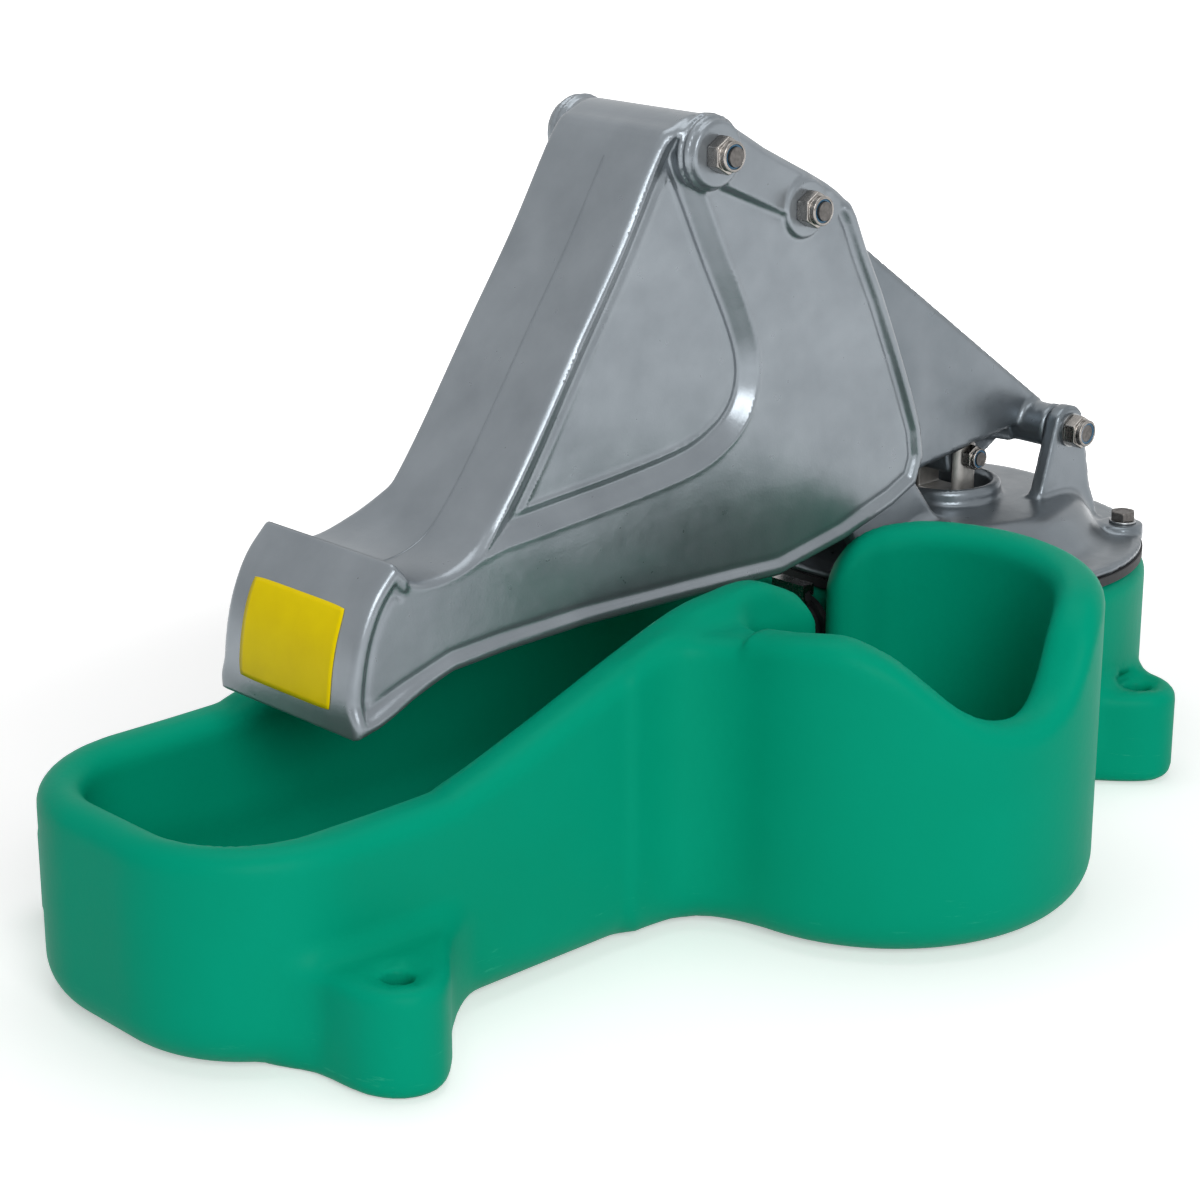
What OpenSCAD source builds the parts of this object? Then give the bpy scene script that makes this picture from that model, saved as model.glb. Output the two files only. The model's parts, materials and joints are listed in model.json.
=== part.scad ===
// Pasture pump: an animal pushes the nose plate, the plate's casting lifts a lever,
// and the lever pulls a diaphragm that draws water up into a trough and a calf bowl.
// The origin is on the ground, midway between the four fixing holes.
// +X runs from the drinking end to the pump, +Z is up, and the calf bowl is on the -Y side.

/* [Trough] */
// Outer width of the drinking trough
trough_w = 194; // [180:1:206]
// Distance from the origin to the outer front face of the trough
trough_front = 355; // [340:1:370]
// Outer corner radius at the front of the trough, seen from above
trough_corner_r = 80; // [72:1:90]
// Thickness of the double wall, which is also the width of the rim
wall_t = 28; // [24:1:30]
// Height of the level rim at the drinking end
rim_h = 110; // [100:1:116]
// Height of the tall side walls beside the pusher
tall_h = 167; // [150:1:172]
// Height of the trough floor above the ground
floor_h = 24; // [18:1:30]
// Radius of the rounded edge round the underside
base_r = 24; // [12:1:30]
// Rounding of the rim
rim_r = 11; // [6:1:11]

/* [Calf bowl] */
// X of the centre of the calf bowl
calf_x = 56; // [50:1:60]
// Distance of the calf bowl's centre from the centre line
calf_y = 125; // [120:1:130]
// Outer radius of the calf bowl
calf_r = 110; // [106:1:112]
// Height of the calf bowl's back wall
calf_back_h = 170; // [164:1:176]
// Height of the low drinking lip of the calf bowl
calf_lip_h = 118; // [110:1:126]

/* [Pump body] */
// X of the pump's centre line
pump_x = 251; // [248:1:253]
// Outer radius of the round pump housing
body_r = 119; // [118:1:122]
// Height of the housing, up to the rubber
body_h = 116; // [112:1:118]
// Thickness of the housing's wall round the chamber
housing_wall = 27; // [26:1:30]
// Depth of the pump chamber
chamber_depth = 50; // [46:1:54]
// Depth of the delivery outlet's centre below the top of the housing
outlet_drop = 24; // [23:1:26]
// Height of the suction inlet's centre above the ground
inlet_z = 46; // [42:1:48]
// Radius of the hose tail where the hose's clip sits
tail_r = 12.5; // [10:0.5:14]
// Distance that the hose tail stands out from the housing
tail_out = 40; // [36:1:50]

/* [Fixing lugs] */
// Distance between the front and the rear fixing holes
lug_pitch_x = 554; // [546:1:562]
// Distance between the near and the far fixing holes
lug_pitch_y = 253; // [246:1:258]
// Height of a lug
lug_h = 54; // [46:1:60]
// Radius of a lug's round nose
lug_r = 23; // [20:1:26]
// Diameter of a fixing hole
lug_hole_d = 14; // [10:0.5:18]
// Diameter of the shallow seat round a fixing hole
lug_seat_d = 27; // [24:1:30]

/* [Cover] */
// Step from the housing's side in to the edge of the flange
flange_step = 3; // [1:0.5:4]
// Thickness of the flange
flange_t = 5; // [4:0.5:6]
// Thickness of the diaphragm's clamped rim
rubber_t = 5; // [4:0.5:6]
// Height of the domed top above the flange's top face
dome_h = 22; // [20:0.5:24]
// Thickness of the dome
dome_t = 5; // [4:0.5:6]
// Inner radius of the collar round the rod
collar_r = 26.5; // [25:0.5:27]
// Height of the collar above the dome
collar_h = 11; // [8:0.5:12]
// Distance from the housing's side in to the cover bolts
cover_bolt_inset = 13; // [12:0.5:14]

/* [Linkage] */
// X of the upper pivot, about which the pusher swings
top_x = -1; // [-4:0.5:2]
// Height of the upper pivot
top_z = 383; // [380:0.5:386]
// Distance of the drive bolt, which lifts the lever, behind the upper pivot
drive_back = 73; // [71:0.5:75]
// Distance of the drive bolt below the upper pivot
drive_drop = 37; // [35:0.5:39]
// X of the rear pivot, about which the lever swings
rear_x = 303; // [301:0.5:305]
// Height of the rear pivot
rear_z = 186; // [184:0.5:188]
// Height of the pin that joins the lever to the diaphragm rod
rod_pin_z = 173; // [172:0.5:174]
// Length that the drive bush can run along the lever's slot
slot_run = 17; // [15:0.5:18]

/* [Pusher] */
// Width of the nose and of the lower part of the pusher
nose_w = 96; // [94:1:98]
// Width of the top of the pusher
top_w = 88; // [87:1:90]
// Thickness of the cast walls
cast_t = 5; // [4:0.5:5.5]
// Width over the bosses of the upper pivot
top_boss_w = 108; // [104:1:112]
// Width over the bosses of the drive bolt
drive_boss_w = 96; // [92:1:98]
// Depth of the sunk triangular panel in each side
panel_d = 6.5; // [4:0.5:7]
// Height of the bead along the lower and rear edges
bead_h = 1.5; // [1:0.5:2]

/* [Fasteners] */
// Thread diameter of the pivot bolts
bolt_d = 10; // [8:1:10]
// Width across the flats of their heads and nuts
bolt_af = 17; // [15:1:17]
// Thread diameter of the cover bolts
cover_bolt_d = 8; // [6:1:8]
// Width across the flats of the cover bolts' heads
cover_bolt_af = 13; // [10:1:13]

/* [Fits] */
// Radial clearance of a pin that turns in a bush
run_c = 0.05; // [0.02:0.01:0.1]
// Gap between pieces that lie against each other
seat_c = 0.3; // [0.2:0.05:0.4]
// Side gap between pieces that move past each other
side_c = 1; // [0.6:0.1:1.2]

/* [Hidden] */

$fn = 48;
BIG = 600;
EPS = 0.01;

flange_z = body_h + rubber_t;
cover_z = flange_z + flange_t;
dome_z = cover_z + dome_h;
drive_x = top_x + drive_back;
drive_z = top_z - drive_drop;
flange_r = body_r - flange_step;
cover_bolt_r = body_r - cover_bolt_inset;
chamber_r = body_r - housing_wall;
chamber_z = body_h - chamber_depth;
outlet_z = body_h - outlet_drop;
lever_half = 22;
lever_t = 5;
arm_in = lever_half + 2;
arm_t = 9;
ear_t = 9;
ear_out = 50;
ear_in = ear_out - ear_t;
barrel_r = 13;
head_h = 6.4;
nut_h = 9.5;
thread_proud = 3;
washer_t = 2;
bush_r = 9;
bush_wall = 2.5;

// Points along an arc, for outlines
function arc(c, r, a0, a1, n) =
  [for (i = [0:n]) let (a = a0 + (a1 - a0) * i / n) c + r * [cos(a), sin(a)]];

// A rod of radius r along Y, from y0 to y1
module rod_y(x, z, r, y0, y1) {
  translate([x, y1, z]) rotate([90, 0, 0]) cylinder(r = r, h = y1 - y0);
}

// The same shape on the near and the far side
module both_sides() {
  children();
  mirror([0, 1, 0]) children();
}

// A plate in the X-Z plane, from y0 to y1, made from a flat outline
module plate_y(y0, y1) {
  translate([0, y1, 0]) rotate([90, 0, 0]) linear_extrude(y1 - y0) children();
}

// A rectangle with round corners at its low-X end only
module front_round(x0, x1, half, r) {
  union() {
    translate([x0 + r, -half]) square([x1 - x0 - r, 2 * half]);
    translate([x0, -half + r]) square([r + 1, 2 * (half - r)]);
    for (s = [-1, 1]) translate([x0 + r, s * (half - r)]) circle(r);
  }
}

// The outline of a bar of constant width between two points, with round ends
module bar2(p, q, r) {
  d = q - p;
  len = norm(d);
  a = atan2(d[1], d[0]);
  translate(p) circle(r);
  translate(q) circle(r);
  translate(p) rotate(a) translate([0, -r]) square([len, 2 * r]);
}

// Profile of the trough and its walls seen from the side
module side_profile() {
  f = -trough_front;
  polygon(concat(
    [for (i = [0:6]) [f + base_r - base_r * cos(90 - i * 15), base_r - base_r * sin(90 - i * 15)]],
    [for (i = [0:4]) [f + rim_r - rim_r * cos(i * 22.5), rim_h - rim_r + rim_r * sin(i * 22.5)]],
    [[f + 125, rim_h], [f + 152, rim_h + 4], [f + 250, rim_h + 36], [f + 290, tall_h - 6],
     [f + 318, tall_h], [f + 346, tall_h], [f + 368, tall_h - 5], [f + 384, tall_h - 14],
     [f + 394, tall_h - 28], [f + 400, tall_h - 50], [f + 408, body_h], [pump_x, body_h],
     [pump_x, 0]]));
}

module trough_outer() {
  intersection() {
    linear_extrude(tall_h + 1) front_round(-trough_front, pump_x, trough_w / 2, trough_corner_r);
    plate_y(-trough_w, trough_w) side_profile();
    trough_section();
  }
}

// Cross-section of the trough, which rounds its underside all along
module trough_section() {
  h = trough_w / 2;
  translate([pump_x, 0, 0]) rotate([90, 0, -90]) linear_extrude(trough_front + pump_x)
    union() {
      translate([-h, base_r]) square([2 * h, tall_h]);
      translate([-h + base_r, 0]) square([2 * (h - base_r), base_r + 1]);
      for (s = [-1, 1]) translate([s * (h - base_r), base_r]) circle(base_r);
    }
}

module trough_inner() {
  half = trough_w / 2 - wall_t;
  translate([0, 0, floor_h])
    linear_extrude(tall_h)
      front_round(-trough_front + wall_t, pump_x - body_r + 30, half, trough_corner_r - wall_t);
}

// Outline, turned about the bowl's axis, of a round body with rounded lower and upper edges
module turned_half(r, h, r_low, r_top) {
  union() {
    translate([0, r_low]) square([r, h - r_low - r_top]);
    square([r - r_low, h]);
    translate([r - r_low, r_low]) circle(r_low);
    square([r - r_top, h]);
    translate([r - r_top, h - r_top]) circle(r_top);
  }
}

module turned_body(r, h, r_low, r_top) {
  rotate_extrude($fn = 96) intersection() {
    turned_half(r, h, r_low, r_top);
    square([r + 1, h + 1]);
  }
}

// Seen from the side, the drinking side of the bowl dips to a low lip
function lip_line() = [[-76, 46], [-66, 36], [-59, 28], [-51, 18], [-42, 10], [-31, 3], [-18, 0],
                       [-5, 1], [6, 6], [18, 15], [27, 31], [33, 40], [43, 47]];
module lip_profile() {
  polygon(concat([for (p = lip_line()) [calf_x + p[0], calf_lip_h + p[1]]],
    [[calf_x + 60, calf_back_h], [calf_x + calf_r, calf_back_h + 1], [calf_x + calf_r, BIG],
     [calf_x - calf_r - 30, BIG], [calf_x - calf_r - 30, calf_lip_h + 42]]));
}

// Seen from the end, the back wall falls away towards its free end beside the pusher
module back_profile() {
  translate([calf_x + 24, 0, 0]) rotate([90, 0, 90]) linear_extrude(calf_r + 10)
    polygon([[-20, calf_back_h - 50], [-40, calf_back_h - 32], [-48, calf_back_h - 18],
             [-56, calf_back_h - 9], [-70, calf_back_h - 3], [-90, calf_back_h], [-90, BIG], [-20, BIG]]);
}

module calf_outer() {
  difference() {
    translate([calf_x, -calf_y, 0]) turned_body(calf_r, calf_back_h, base_r, rim_r);
    plate_y(-BIG, -calf_y + 20) lip_profile();
    translate([calf_x - calf_r - 20, -calf_y - calf_r - 20, tall_h - 3])
      cube([calf_r - 20, calf_r + 60, 60]);
  }
}

// The concave sweep between the trough's wall and the bowl
sweep_r = 40;
module waist() {
  cy = -trough_w / 2 - sweep_r;
  cx = calf_x - sqrt(pow(calf_r + sweep_r, 2) - pow(cy + calf_y, 2));
  difference() {
    translate([cx, cy, 0]) cube([calf_x - calf_r + 8 - cx, sweep_r + 10, rim_h + 30]);
    translate([cx, cy, -1]) cylinder(r = sweep_r, h = BIG);
  }
}

// The bowl's back wall, which runs on past the trough's line to a round free end
back_end_a = 54;
module back_wall() {
  mid = calf_r - wall_t / 2 + 1;
  ex = calf_x + mid * cos(back_end_a);
  ey = -calf_y + mid * sin(back_end_a);
  difference() {
    union() {
      intersection() {
        translate([calf_x, -calf_y, 0]) difference() {
          cylinder(r = calf_r, h = calf_back_h, $fn = 96);
          translate([0, 0, -1]) cylinder(r = calf_r - wall_t + 2, h = BIG, $fn = 96);
        }
        linear_extrude(calf_back_h) polygon([[calf_x, -calf_y],
          [calf_x + 160, -calf_y], [calf_x + 160 * cos(back_end_a), -calf_y + 160 * sin(back_end_a)]]);
      }
      translate([ex, ey, 0]) cylinder(r = wall_t / 2 - 1, h = calf_back_h);
    }
    back_profile();
    translate([0, 0, -1]) cube([BIG, BIG, floor_h - 10], center = true);
  }
}

module calf_inner() {
  translate([calf_x, -calf_y, floor_h + 6])
    cylinder(r = calf_r - wall_t + 2, h = calf_back_h, $fn = 96);
}

// The tongue of trough wall that stands between the trough and the calf bowl
module tongue() {
  end_x = 40;
  intersection() {
    linear_extrude(tall_h) union() {
      translate([-60, -trough_w / 2]) square([60 + end_x - wall_t / 2, wall_t]);
      translate([end_x - wall_t / 2, -trough_w / 2 + wall_t / 2]) circle(wall_t / 2);
    }
    plate_y(-trough_w, 0) side_profile();
  }
}

module pump_housing() {
  translate([pump_x, 0, 0]) turned_body(body_r, body_h, base_r / 2, 2);
}

function lug_places() = [for (sx = [-1, 1], sy = [-1, 1]) [sx * lug_pitch_x / 2, sy * lug_pitch_y / 2]];

// One lug: a round nose on a root that spreads towards the middle of the trough
module lug(x, y) {
  s = sign(y);
  t = sign(x);
  spread = lug_r * 0.7;
  linear_extrude(lug_h) union() {
    translate([x, y]) circle(lug_r);
    polygon([[x + t * lug_r, y], [x + t * (lug_r + 3), y - s * 42], [x - t * 70, y - s * 42],
             [x - t * spread, y + s * spread]]);
  }
}

module lug_holes() {
  for (p = lug_places()) {
    translate([p[0], p[1], -1]) cylinder(d = lug_hole_d, h = lug_h + 2);
    translate([p[0], p[1], lug_h - 2]) cylinder(d = lug_seat_d, h = 3);
  }
}

insert_r = 7;
insert_h = 26;
sump_r = 34;
sump_z = 26;
inlet_r = 13;
outlet_r = 13;
spout_r = outlet_r + 4;
cover_bolt_angles = [45, 135, 225, 315];

module at_cover_bolts() {
  for (a = cover_bolt_angles)
    translate([pump_x + cover_bolt_r * cos(a), cover_bolt_r * sin(a), 0]) children();
}

module bowl_body() color("#00976f") {
  difference() {
    union() {
      difference() {
        union() {
          trough_outer();
          calf_outer();
        }
        trough_inner();
        calf_inner();
      }
      tongue();
      back_wall();
      waist();
      pump_housing();
      for (p = lug_places()) lug(p[0], p[1]);
    }
    lug_holes();
    translate([pump_x, 0, chamber_z]) cylinder(r = chamber_r, h = BIG, $fn = 96);
    translate([pump_x, 0, sump_z]) cylinder(r = sump_r, h = BIG);
    translate([pump_x, 0, inlet_z]) rotate([0, 90, 0]) cylinder(r = inlet_r, h = BIG);
    translate([pump_x, 0, outlet_z]) rotate([0, -90, 0]) cylinder(r = spout_r + seat_c, h = body_r + 10);
    at_cover_bolts() translate([0, 0, body_h - insert_h]) cylinder(r = insert_r + seat_c, h = BIG);
  }
}

module bowl_inserts() color("#b08d3c") {
  at_cover_bolts() translate([0, 0, body_h - insert_h]) difference() {
    cylinder(r = insert_r, h = insert_h);
    translate([0, 0, 3]) cylinder(r = cover_bolt_d / 2 + seat_c, h = insert_h);
  }
}

// Half of the cover's outer section: flange, shoulder, dome and collar
shoulder_r = chamber_r;
crown_r = shoulder_r - 12;
module cover_section() {
  square([flange_r, flange_t]);
  polygon([[0, 0], [shoulder_r + 4, flange_t], [shoulder_r, flange_t + 3],
           [crown_r + 3, flange_t + dome_h - 5], [crown_r - 5, flange_t + dome_h], [0, flange_t + dome_h]]);
  square([collar_r + 4.5, flange_t + dome_h + collar_h]);
}

// Half of the space under the dome, with the hole through the collar
module cover_hollow_section() {
  in = flange_t + dome_h - dome_t;
  polygon([[0, -1], [shoulder_r - 5, -1], [shoulder_r - 6, flange_t], [crown_r - 4, in - 3],
           [crown_r - 9, in], [collar_r, in], [collar_r, BIG], [0, BIG]]);
}

// One ear that carries the rear pivot
ear_r = 14;
module ear() {
  plate_y(ear_in, ear_out) difference() {
    polygon(concat([[rear_x - 25, cover_z + 1], [rear_x - 25, dome_z - 6]],
      arc([rear_x, rear_z], ear_r, 165, 10, 10),
      [[rear_x + 24, dome_z - 14], [rear_x + 24, cover_z + 1]]));
    translate([rear_x, rear_z]) circle(bolt_d / 2 + run_c);
  }
}

// One front arm that carries the upper pivot inside the pusher
arm_r = 14;
module arm() {
  foot_x = pump_x - crown_r + 2;
  plate_y(arm_in, arm_in + arm_t) difference() {
    polygon(concat([[foot_x - 24, cover_z - 2], [foot_x - 21, dome_z]],
      arc([top_x, top_z], arm_r, 215, 40, 12),
      [[foot_x + 16, dome_z + 12], [foot_x + 34, dome_z - 3], [foot_x + 34, cover_z + 12]]));
    translate([top_x, top_z]) circle(bolt_d / 2 + bush_wall);
  }
}

module pump_cover() color("#9ea3a6") {
  difference() {
    union() {
      translate([pump_x, 0, flange_z]) rotate_extrude($fn = 96) cover_section();
      at_cover_bolts() translate([0, 0, flange_z]) cylinder(r = 13, h = flange_t + 4);
      both_sides() ear();
      both_sides() arm();
    }
    translate([pump_x, 0, flange_z]) rotate_extrude($fn = 96) cover_hollow_section();
    at_cover_bolts() cylinder(r = cover_bolt_d / 2 + seat_c, h = BIG);
  }
}

module hex_head(af, h) {
  cylinder(r = af / 2 / cos(30), h = h, $fn = 6);
}

module cover_bolts() color("#c9ccce") {
  at_cover_bolts() {
    translate([0, 0, cover_z + 4 + 1.6]) hex_head(cover_bolt_af, 5.3);
    translate([0, 0, body_h - 20]) cylinder(d = cover_bolt_d, h = cover_z + 4 + 1.6 - body_h + 20 + EPS);
  }
}

module cover_washers() color("#b9bcbe") {
  at_cover_bolts() translate([0, 0, cover_z + 4]) difference() {
    cylinder(d = 2 * cover_bolt_d, h = 1.6);
    translate([0, 0, -1]) cylinder(d = cover_bolt_d + 2 * seat_c, h = 4);
  }
}

// The diaphragm: a clamped rim, a rolled fold and a flat centre
plate_r = shoulder_r - 24;
rod_r = 9;
module diaphragm() color("#1b1b1c") {
  fold_r = (shoulder_r - 6 - plate_r) / 2;
  difference() {
    translate([pump_x, 0, body_h]) rotate_extrude($fn = 96) union() {
      translate([shoulder_r - 9, 0]) square([flange_r + 10 - shoulder_r, rubber_t]);
      translate([rod_r + seat_c, 0]) square([plate_r - rod_r - seat_c + 1, rubber_t]);
      translate([plate_r + fold_r, 0]) difference() {
        circle(fold_r);
        circle(fold_r - 3);
        translate([-BIG / 2, 0]) square(BIG);
      }
    }
    at_cover_bolts() cylinder(r = cover_bolt_d / 2 + seat_c, h = BIG);
  }
}

module upper_plate() color("#8f9598") {
  translate([pump_x, 0, flange_z + seat_c]) rotate_extrude($fn = 96)
    polygon([[rod_r + 0.2, 0], [plate_r - 6, 0], [plate_r - 2, 3], [plate_r - 4, 5], [plate_r - 8, 3],
             [rod_r + 8, 3], [rod_r + 6, 6], [rod_r + 0.2, 6]]);
}

module lower_plate() color("#8f9598") {
  translate([pump_x, 0, body_h - 4 - seat_c]) difference() {
    rotate_extrude($fn = 96)
      polygon([[rod_r - 3 + 0.2, 0], [plate_r - 12, 0], [plate_r - 8, 4], [rod_r - 3 + 0.2, 4]]);
  }
}

fork_half = 17;
fork_t = 5;
module diaphragm_rod() color("#aeb2b5") {
  cheek_h = rod_pin_z + 9;
  base_z = rod_pin_z - 14;
  difference() {
    union() {
      translate([pump_x, 0, body_h - seat_c]) cylinder(r = rod_r, h = base_z - body_h + seat_c);
      translate([pump_x, 0, body_h - 24]) cylinder(r = rod_r - 3, h = 30);
      intersection() {
        translate([pump_x - rod_r, -fork_half, base_z - 5])
          cube([2 * rod_r, 2 * fork_half, cheek_h - base_z + 5]);
        union() {
          translate([pump_x - rod_r, -fork_half, base_z - 5])
            cube([2 * rod_r, 2 * fork_half, 5 + rod_pin_z - base_z]);
          rod_y(pump_x, rod_pin_z, rod_r, -fork_half, fork_half);
        }
      }
    }
    translate([pump_x - 20, -fork_half + fork_t, base_z]) cube([40, 2 * (fork_half - fork_t), BIG]);
    rod_y(pump_x, rod_pin_z, 4 + run_c, -40, 40);
  }
}

module rod_nut() color("#c9ccce") {
  translate([pump_x, 0, body_h - 4 - 2 * seat_c - 9]) difference() {
    hex_head(19, 9);
    translate([0, 0, -1]) cylinder(r = rod_r - 3 + 0.2, h = 12);
  }
}

// The return spring under the dome: the turns of a coil, joined by a thin web
spring_r = 40;
wire_r = 2.2;
spring_turns = 4;
module return_spring() color("#777b7e") {
  z0 = flange_z + 3 + 2 * seat_c + wire_r + 0.5;
  z1 = dome_z - dome_t - wire_r - seat_c;
  pitch = (z1 - z0) / (spring_turns - 1);
  translate([pump_x, 0, z0]) rotate_extrude($fn = 64) union() {
    for (i = [0:spring_turns - 1]) translate([spring_r, i * pitch]) circle(wire_r, $fn = 16);
    translate([spring_r - 0.8, 0]) square([1.6, z1 - z0]);
  }
}

module nut_y(x, z, y, h, af, hole) {
  translate([x, y, z]) rotate([90, 0, 0]) difference() {
    union() {
      hex_head(af, h * 0.72);
      cylinder(r = af / 2 - 0.6, h = h);
    }
    translate([0, 0, -1]) cylinder(r = hole, h = h + 2);
  }
}

// A bolt along Y with its head on the far side and its thread end on the near side
module bolt_y(x, z, r, head_y, end_y, af, h) {
  rod_y(x, z, r, -end_y, head_y + EPS);
  translate([x, head_y + h, z]) rotate([90, 0, 0]) hex_head(af, h);
}

pin_r = 4;
module rod_pin_bolt() color("#c9ccce") {
  bolt_y(pump_x, rod_pin_z, pin_r, fork_half + seat_c, fork_half + nut_h, 13, 5.3);
}

module rod_pin_nut() color("#c9ccce") {
  nut_y(pump_x, rod_pin_z, -fork_half - seat_c, 8, 13, pin_r + 0.1);
}

// Side outline of the lever: a wedge from the rear barrel to the drive end
lever_dir = [drive_x - rear_x, drive_z - rear_z] / norm([drive_x - rear_x, drive_z - rear_z]);
lever_nrm = [-lever_dir[1], lever_dir[0]];
module lever_outline() {
  c = [rear_x, rear_z];
  b = [drive_x, drive_z];
  edge = 13;
  polygon([c - lever_nrm * edge, b - lever_nrm * edge, b - lever_nrm * edge + lever_dir * 12,
           b + lever_dir * (slot_run + 20), b + lever_nrm * (edge + 4) + lever_dir * (slot_run + 8),
           [drive_x + 20, drive_z - 60], [pump_x - 101, rod_pin_z + 27], [pump_x - 52, rod_pin_z + 6],
           [rear_x - 12, rod_pin_z + 4], c + [0, -barrel_r]]);
}

module lever_slot() {
  b = [drive_x, drive_z];
  bar2(b - lever_dir * 1, b + lever_dir * slot_run, bush_r + 1.2);
}

module lever() color("#a4a9ac") {
  difference() {
    union() {
      difference() {
        plate_y(-lever_half, lever_half) lever_outline();
        plate_y(-lever_half + lever_t, lever_half - lever_t) difference() {
          lever_outline();
          // The web under the upper edge
          translate([rear_x, rear_z]) rotate(atan2(lever_dir[1], lever_dir[0]))
            translate([-20, -13 - EPS]) square([BIG, cast_t]);
        }
      }
      rod_y(rear_x, rear_z, barrel_r, -ear_in + side_c, ear_in - side_c);
      // The lug that the rod's fork straddles
      plate_y(-fork_half + fork_t + side_c, fork_half - fork_t - side_c)
        polygon([[pump_x - 11, rod_pin_z - 9], [pump_x + 11, rod_pin_z - 9], [rear_x - 8, rear_z - 4],
                 [rear_x - 8, rear_z + 14], [pump_x + 8, rod_pin_z + 58], [pump_x - 20, rod_pin_z + 78],
                 [pump_x - 16, rod_pin_z + 12]]);
      // Thickened drive end round the slot
      both_sides() plate_y(lever_half - lever_t - 2, lever_half)
        bar2([drive_x, drive_z], [drive_x, drive_z] + lever_dir * slot_run, bush_r + 6);
    }
    // Room for the rod's fork cheeks
    translate([pump_x - rod_r - 3, -fork_half - side_c, 0])
      cube([2 * rod_r + 6, fork_t + 2 * side_c, rod_pin_z + rod_r + 4]);
    translate([pump_x - rod_r - 3, fork_half - fork_t - side_c, 0])
      cube([2 * rod_r + 6, fork_t + 2 * side_c, rod_pin_z + rod_r + 4]);
    // Room for the pin's head and nut
    both_sides() rod_y(pump_x, rod_pin_z, 9.5, fork_half, BIG);
    plate_y(-BIG, BIG) lever_slot();
    plate_y(-fork_half, fork_half) bar2([pump_x - 1.2, rod_pin_z], [pump_x + 1.2, rod_pin_z], pin_r + 0.4);
    rod_y(rear_x, rear_z, bolt_d / 2 + bush_wall, -BIG / 2, BIG / 2);
  }
}

module lever_bush() color("#e9e6dc") {
  difference() {
    rod_y(rear_x, rear_z, bolt_d / 2 + bush_wall, -ear_in + side_c, ear_in - side_c);
    rod_y(rear_x, rear_z, bolt_d / 2 + run_c, -ear_in, ear_in);
  }
}

module rear_pivot_bolt() color("#c9ccce") {
  bolt_y(rear_x, rear_z, bolt_d / 2, ear_out + washer_t, ear_out + washer_t + nut_h + 1, bolt_af, head_h);
}

module rear_pivot_nut() color("#c9ccce") {
  nut_y(rear_x, rear_z, -ear_out - washer_t, nut_h, bolt_af, bolt_d / 2 + 0.05);
}

module rear_pivot_washers() color("#b9bcbe") {
  both_sides() difference() {
    rod_y(rear_x, rear_z, 10, ear_out, ear_out + washer_t);
    rod_y(rear_x, rear_z, bolt_d / 2 + 0.2, ear_out - 1, ear_out + washer_t + 1);
  }
}

// Side outline of the pusher, from the nose's lower edge round by the top and the rear
nose_arc_c = [-147, 145];
nose_arc_r = 92;
function nose_points() = arc(nose_arc_c, nose_arc_r, 187.5, 135, 8);
function rear_edge() =
  [[drive_x + 42, drive_z - 25], [drive_x + 48, drive_z - 38], [132, 284], [145, 259], [158, 235]];
module pusher_outline() {
  polygon(concat(nose_points(),
    [[-200, 206], [-190, 203], [-174, 204], [-161, 211], [-146, 223], [-125, 246], [-91, 296], [-60, 341]],
    [[top_x - 17, top_z + 11]],
    arc([top_x, top_z], 20, 147, 62, 5),
    [[drive_x + 19, drive_z + 12]],
    arc([drive_x + 22, drive_z - 8], 17, 70, 0, 4),
    rear_edge(),
    arc([153, 194], 17, 35, -70, 5),
    [[106, 159], [55, 150], [6, 151], [-87, 154], [-170, 153], [-186, 150], [-203, 143], [-225, 136]]));
}

// The hollow side of the casting, open below and at the rear
module pusher_hollow_outline() {
  polygon(concat(
    arc(nose_arc_c, nose_arc_r - cast_t, 195, 139, 8),
    [[-190, 198], [-172, 199], [-158, 205], [-142, 218], [-120, 244], [-86, 294], [-55, 340]],
    [[top_x - 15, top_z + 5]],
    arc([top_x, top_z], 20 - cast_t, 147, 62, 5),
    [[top_x + 60, top_z + 60], [pump_x, top_z + 60], [pump_x, 0], [-260, 0]]));
}

// The sunk field of each side, in front of the diagonal plate that joins the bolts to the rear corner
corner_c = [11, 254];
corner_r = 31;
module sunk_outline() {
  polygon(concat([[-190, 208], [-146, 213], [-70, 218]], arc(corner_c, corner_r, -80, 20, 8),
    [[top_x + 12, top_z - 44], [top_x - 1, top_z - 16], [top_x - 14, top_z + 7], [top_x - 40, top_z + 40],
     [-190, 260]]));
}

// The deepest part of that field, which leaves a narrow proud edge along the sloping front
module panel_outline() {
  polygon(concat([[-142, 216], [-70, 221]], arc(corner_c, corner_r - 3, -80, 20, 8),
    [[top_x + 9, top_z - 46], [top_x - 4, top_z - 20], [top_x - 18, top_z - 10], [top_x - 26, top_z - 12],
     [-53, 336], [-84, 291], [-118, 240]]));
}

// All but the lower and the rear edge of the side, where the beads run
module inside_of_beads() {
  polygon(concat([[-260, 162], [-87, 162], [6, 158], [55, 157], [104, 166]],
    arc([153, 194], 9.5, -60, 25, 4), [[150, 233], [137, 257], [124, 282]],
    [[drive_x + 40, drive_z - 40], [drive_x + 34, drive_z - 27], [drive_x + 60, BIG], [-260, BIG]]));
}

// Two walls that lean in from the nose's width to the top's, moved in by inset
low_z = 200;
module pusher_width(inset) {
  w0 = nose_w / 2 - inset;
  w1 = top_w / 2 - inset;
  plate_x() polygon([[-w0, 0], [w0, 0], [w0, low_z], [w1, top_z], [w1, BIG],
                     [-w1, BIG], [-w1, top_z], [-w0, low_z]]);
}

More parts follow.
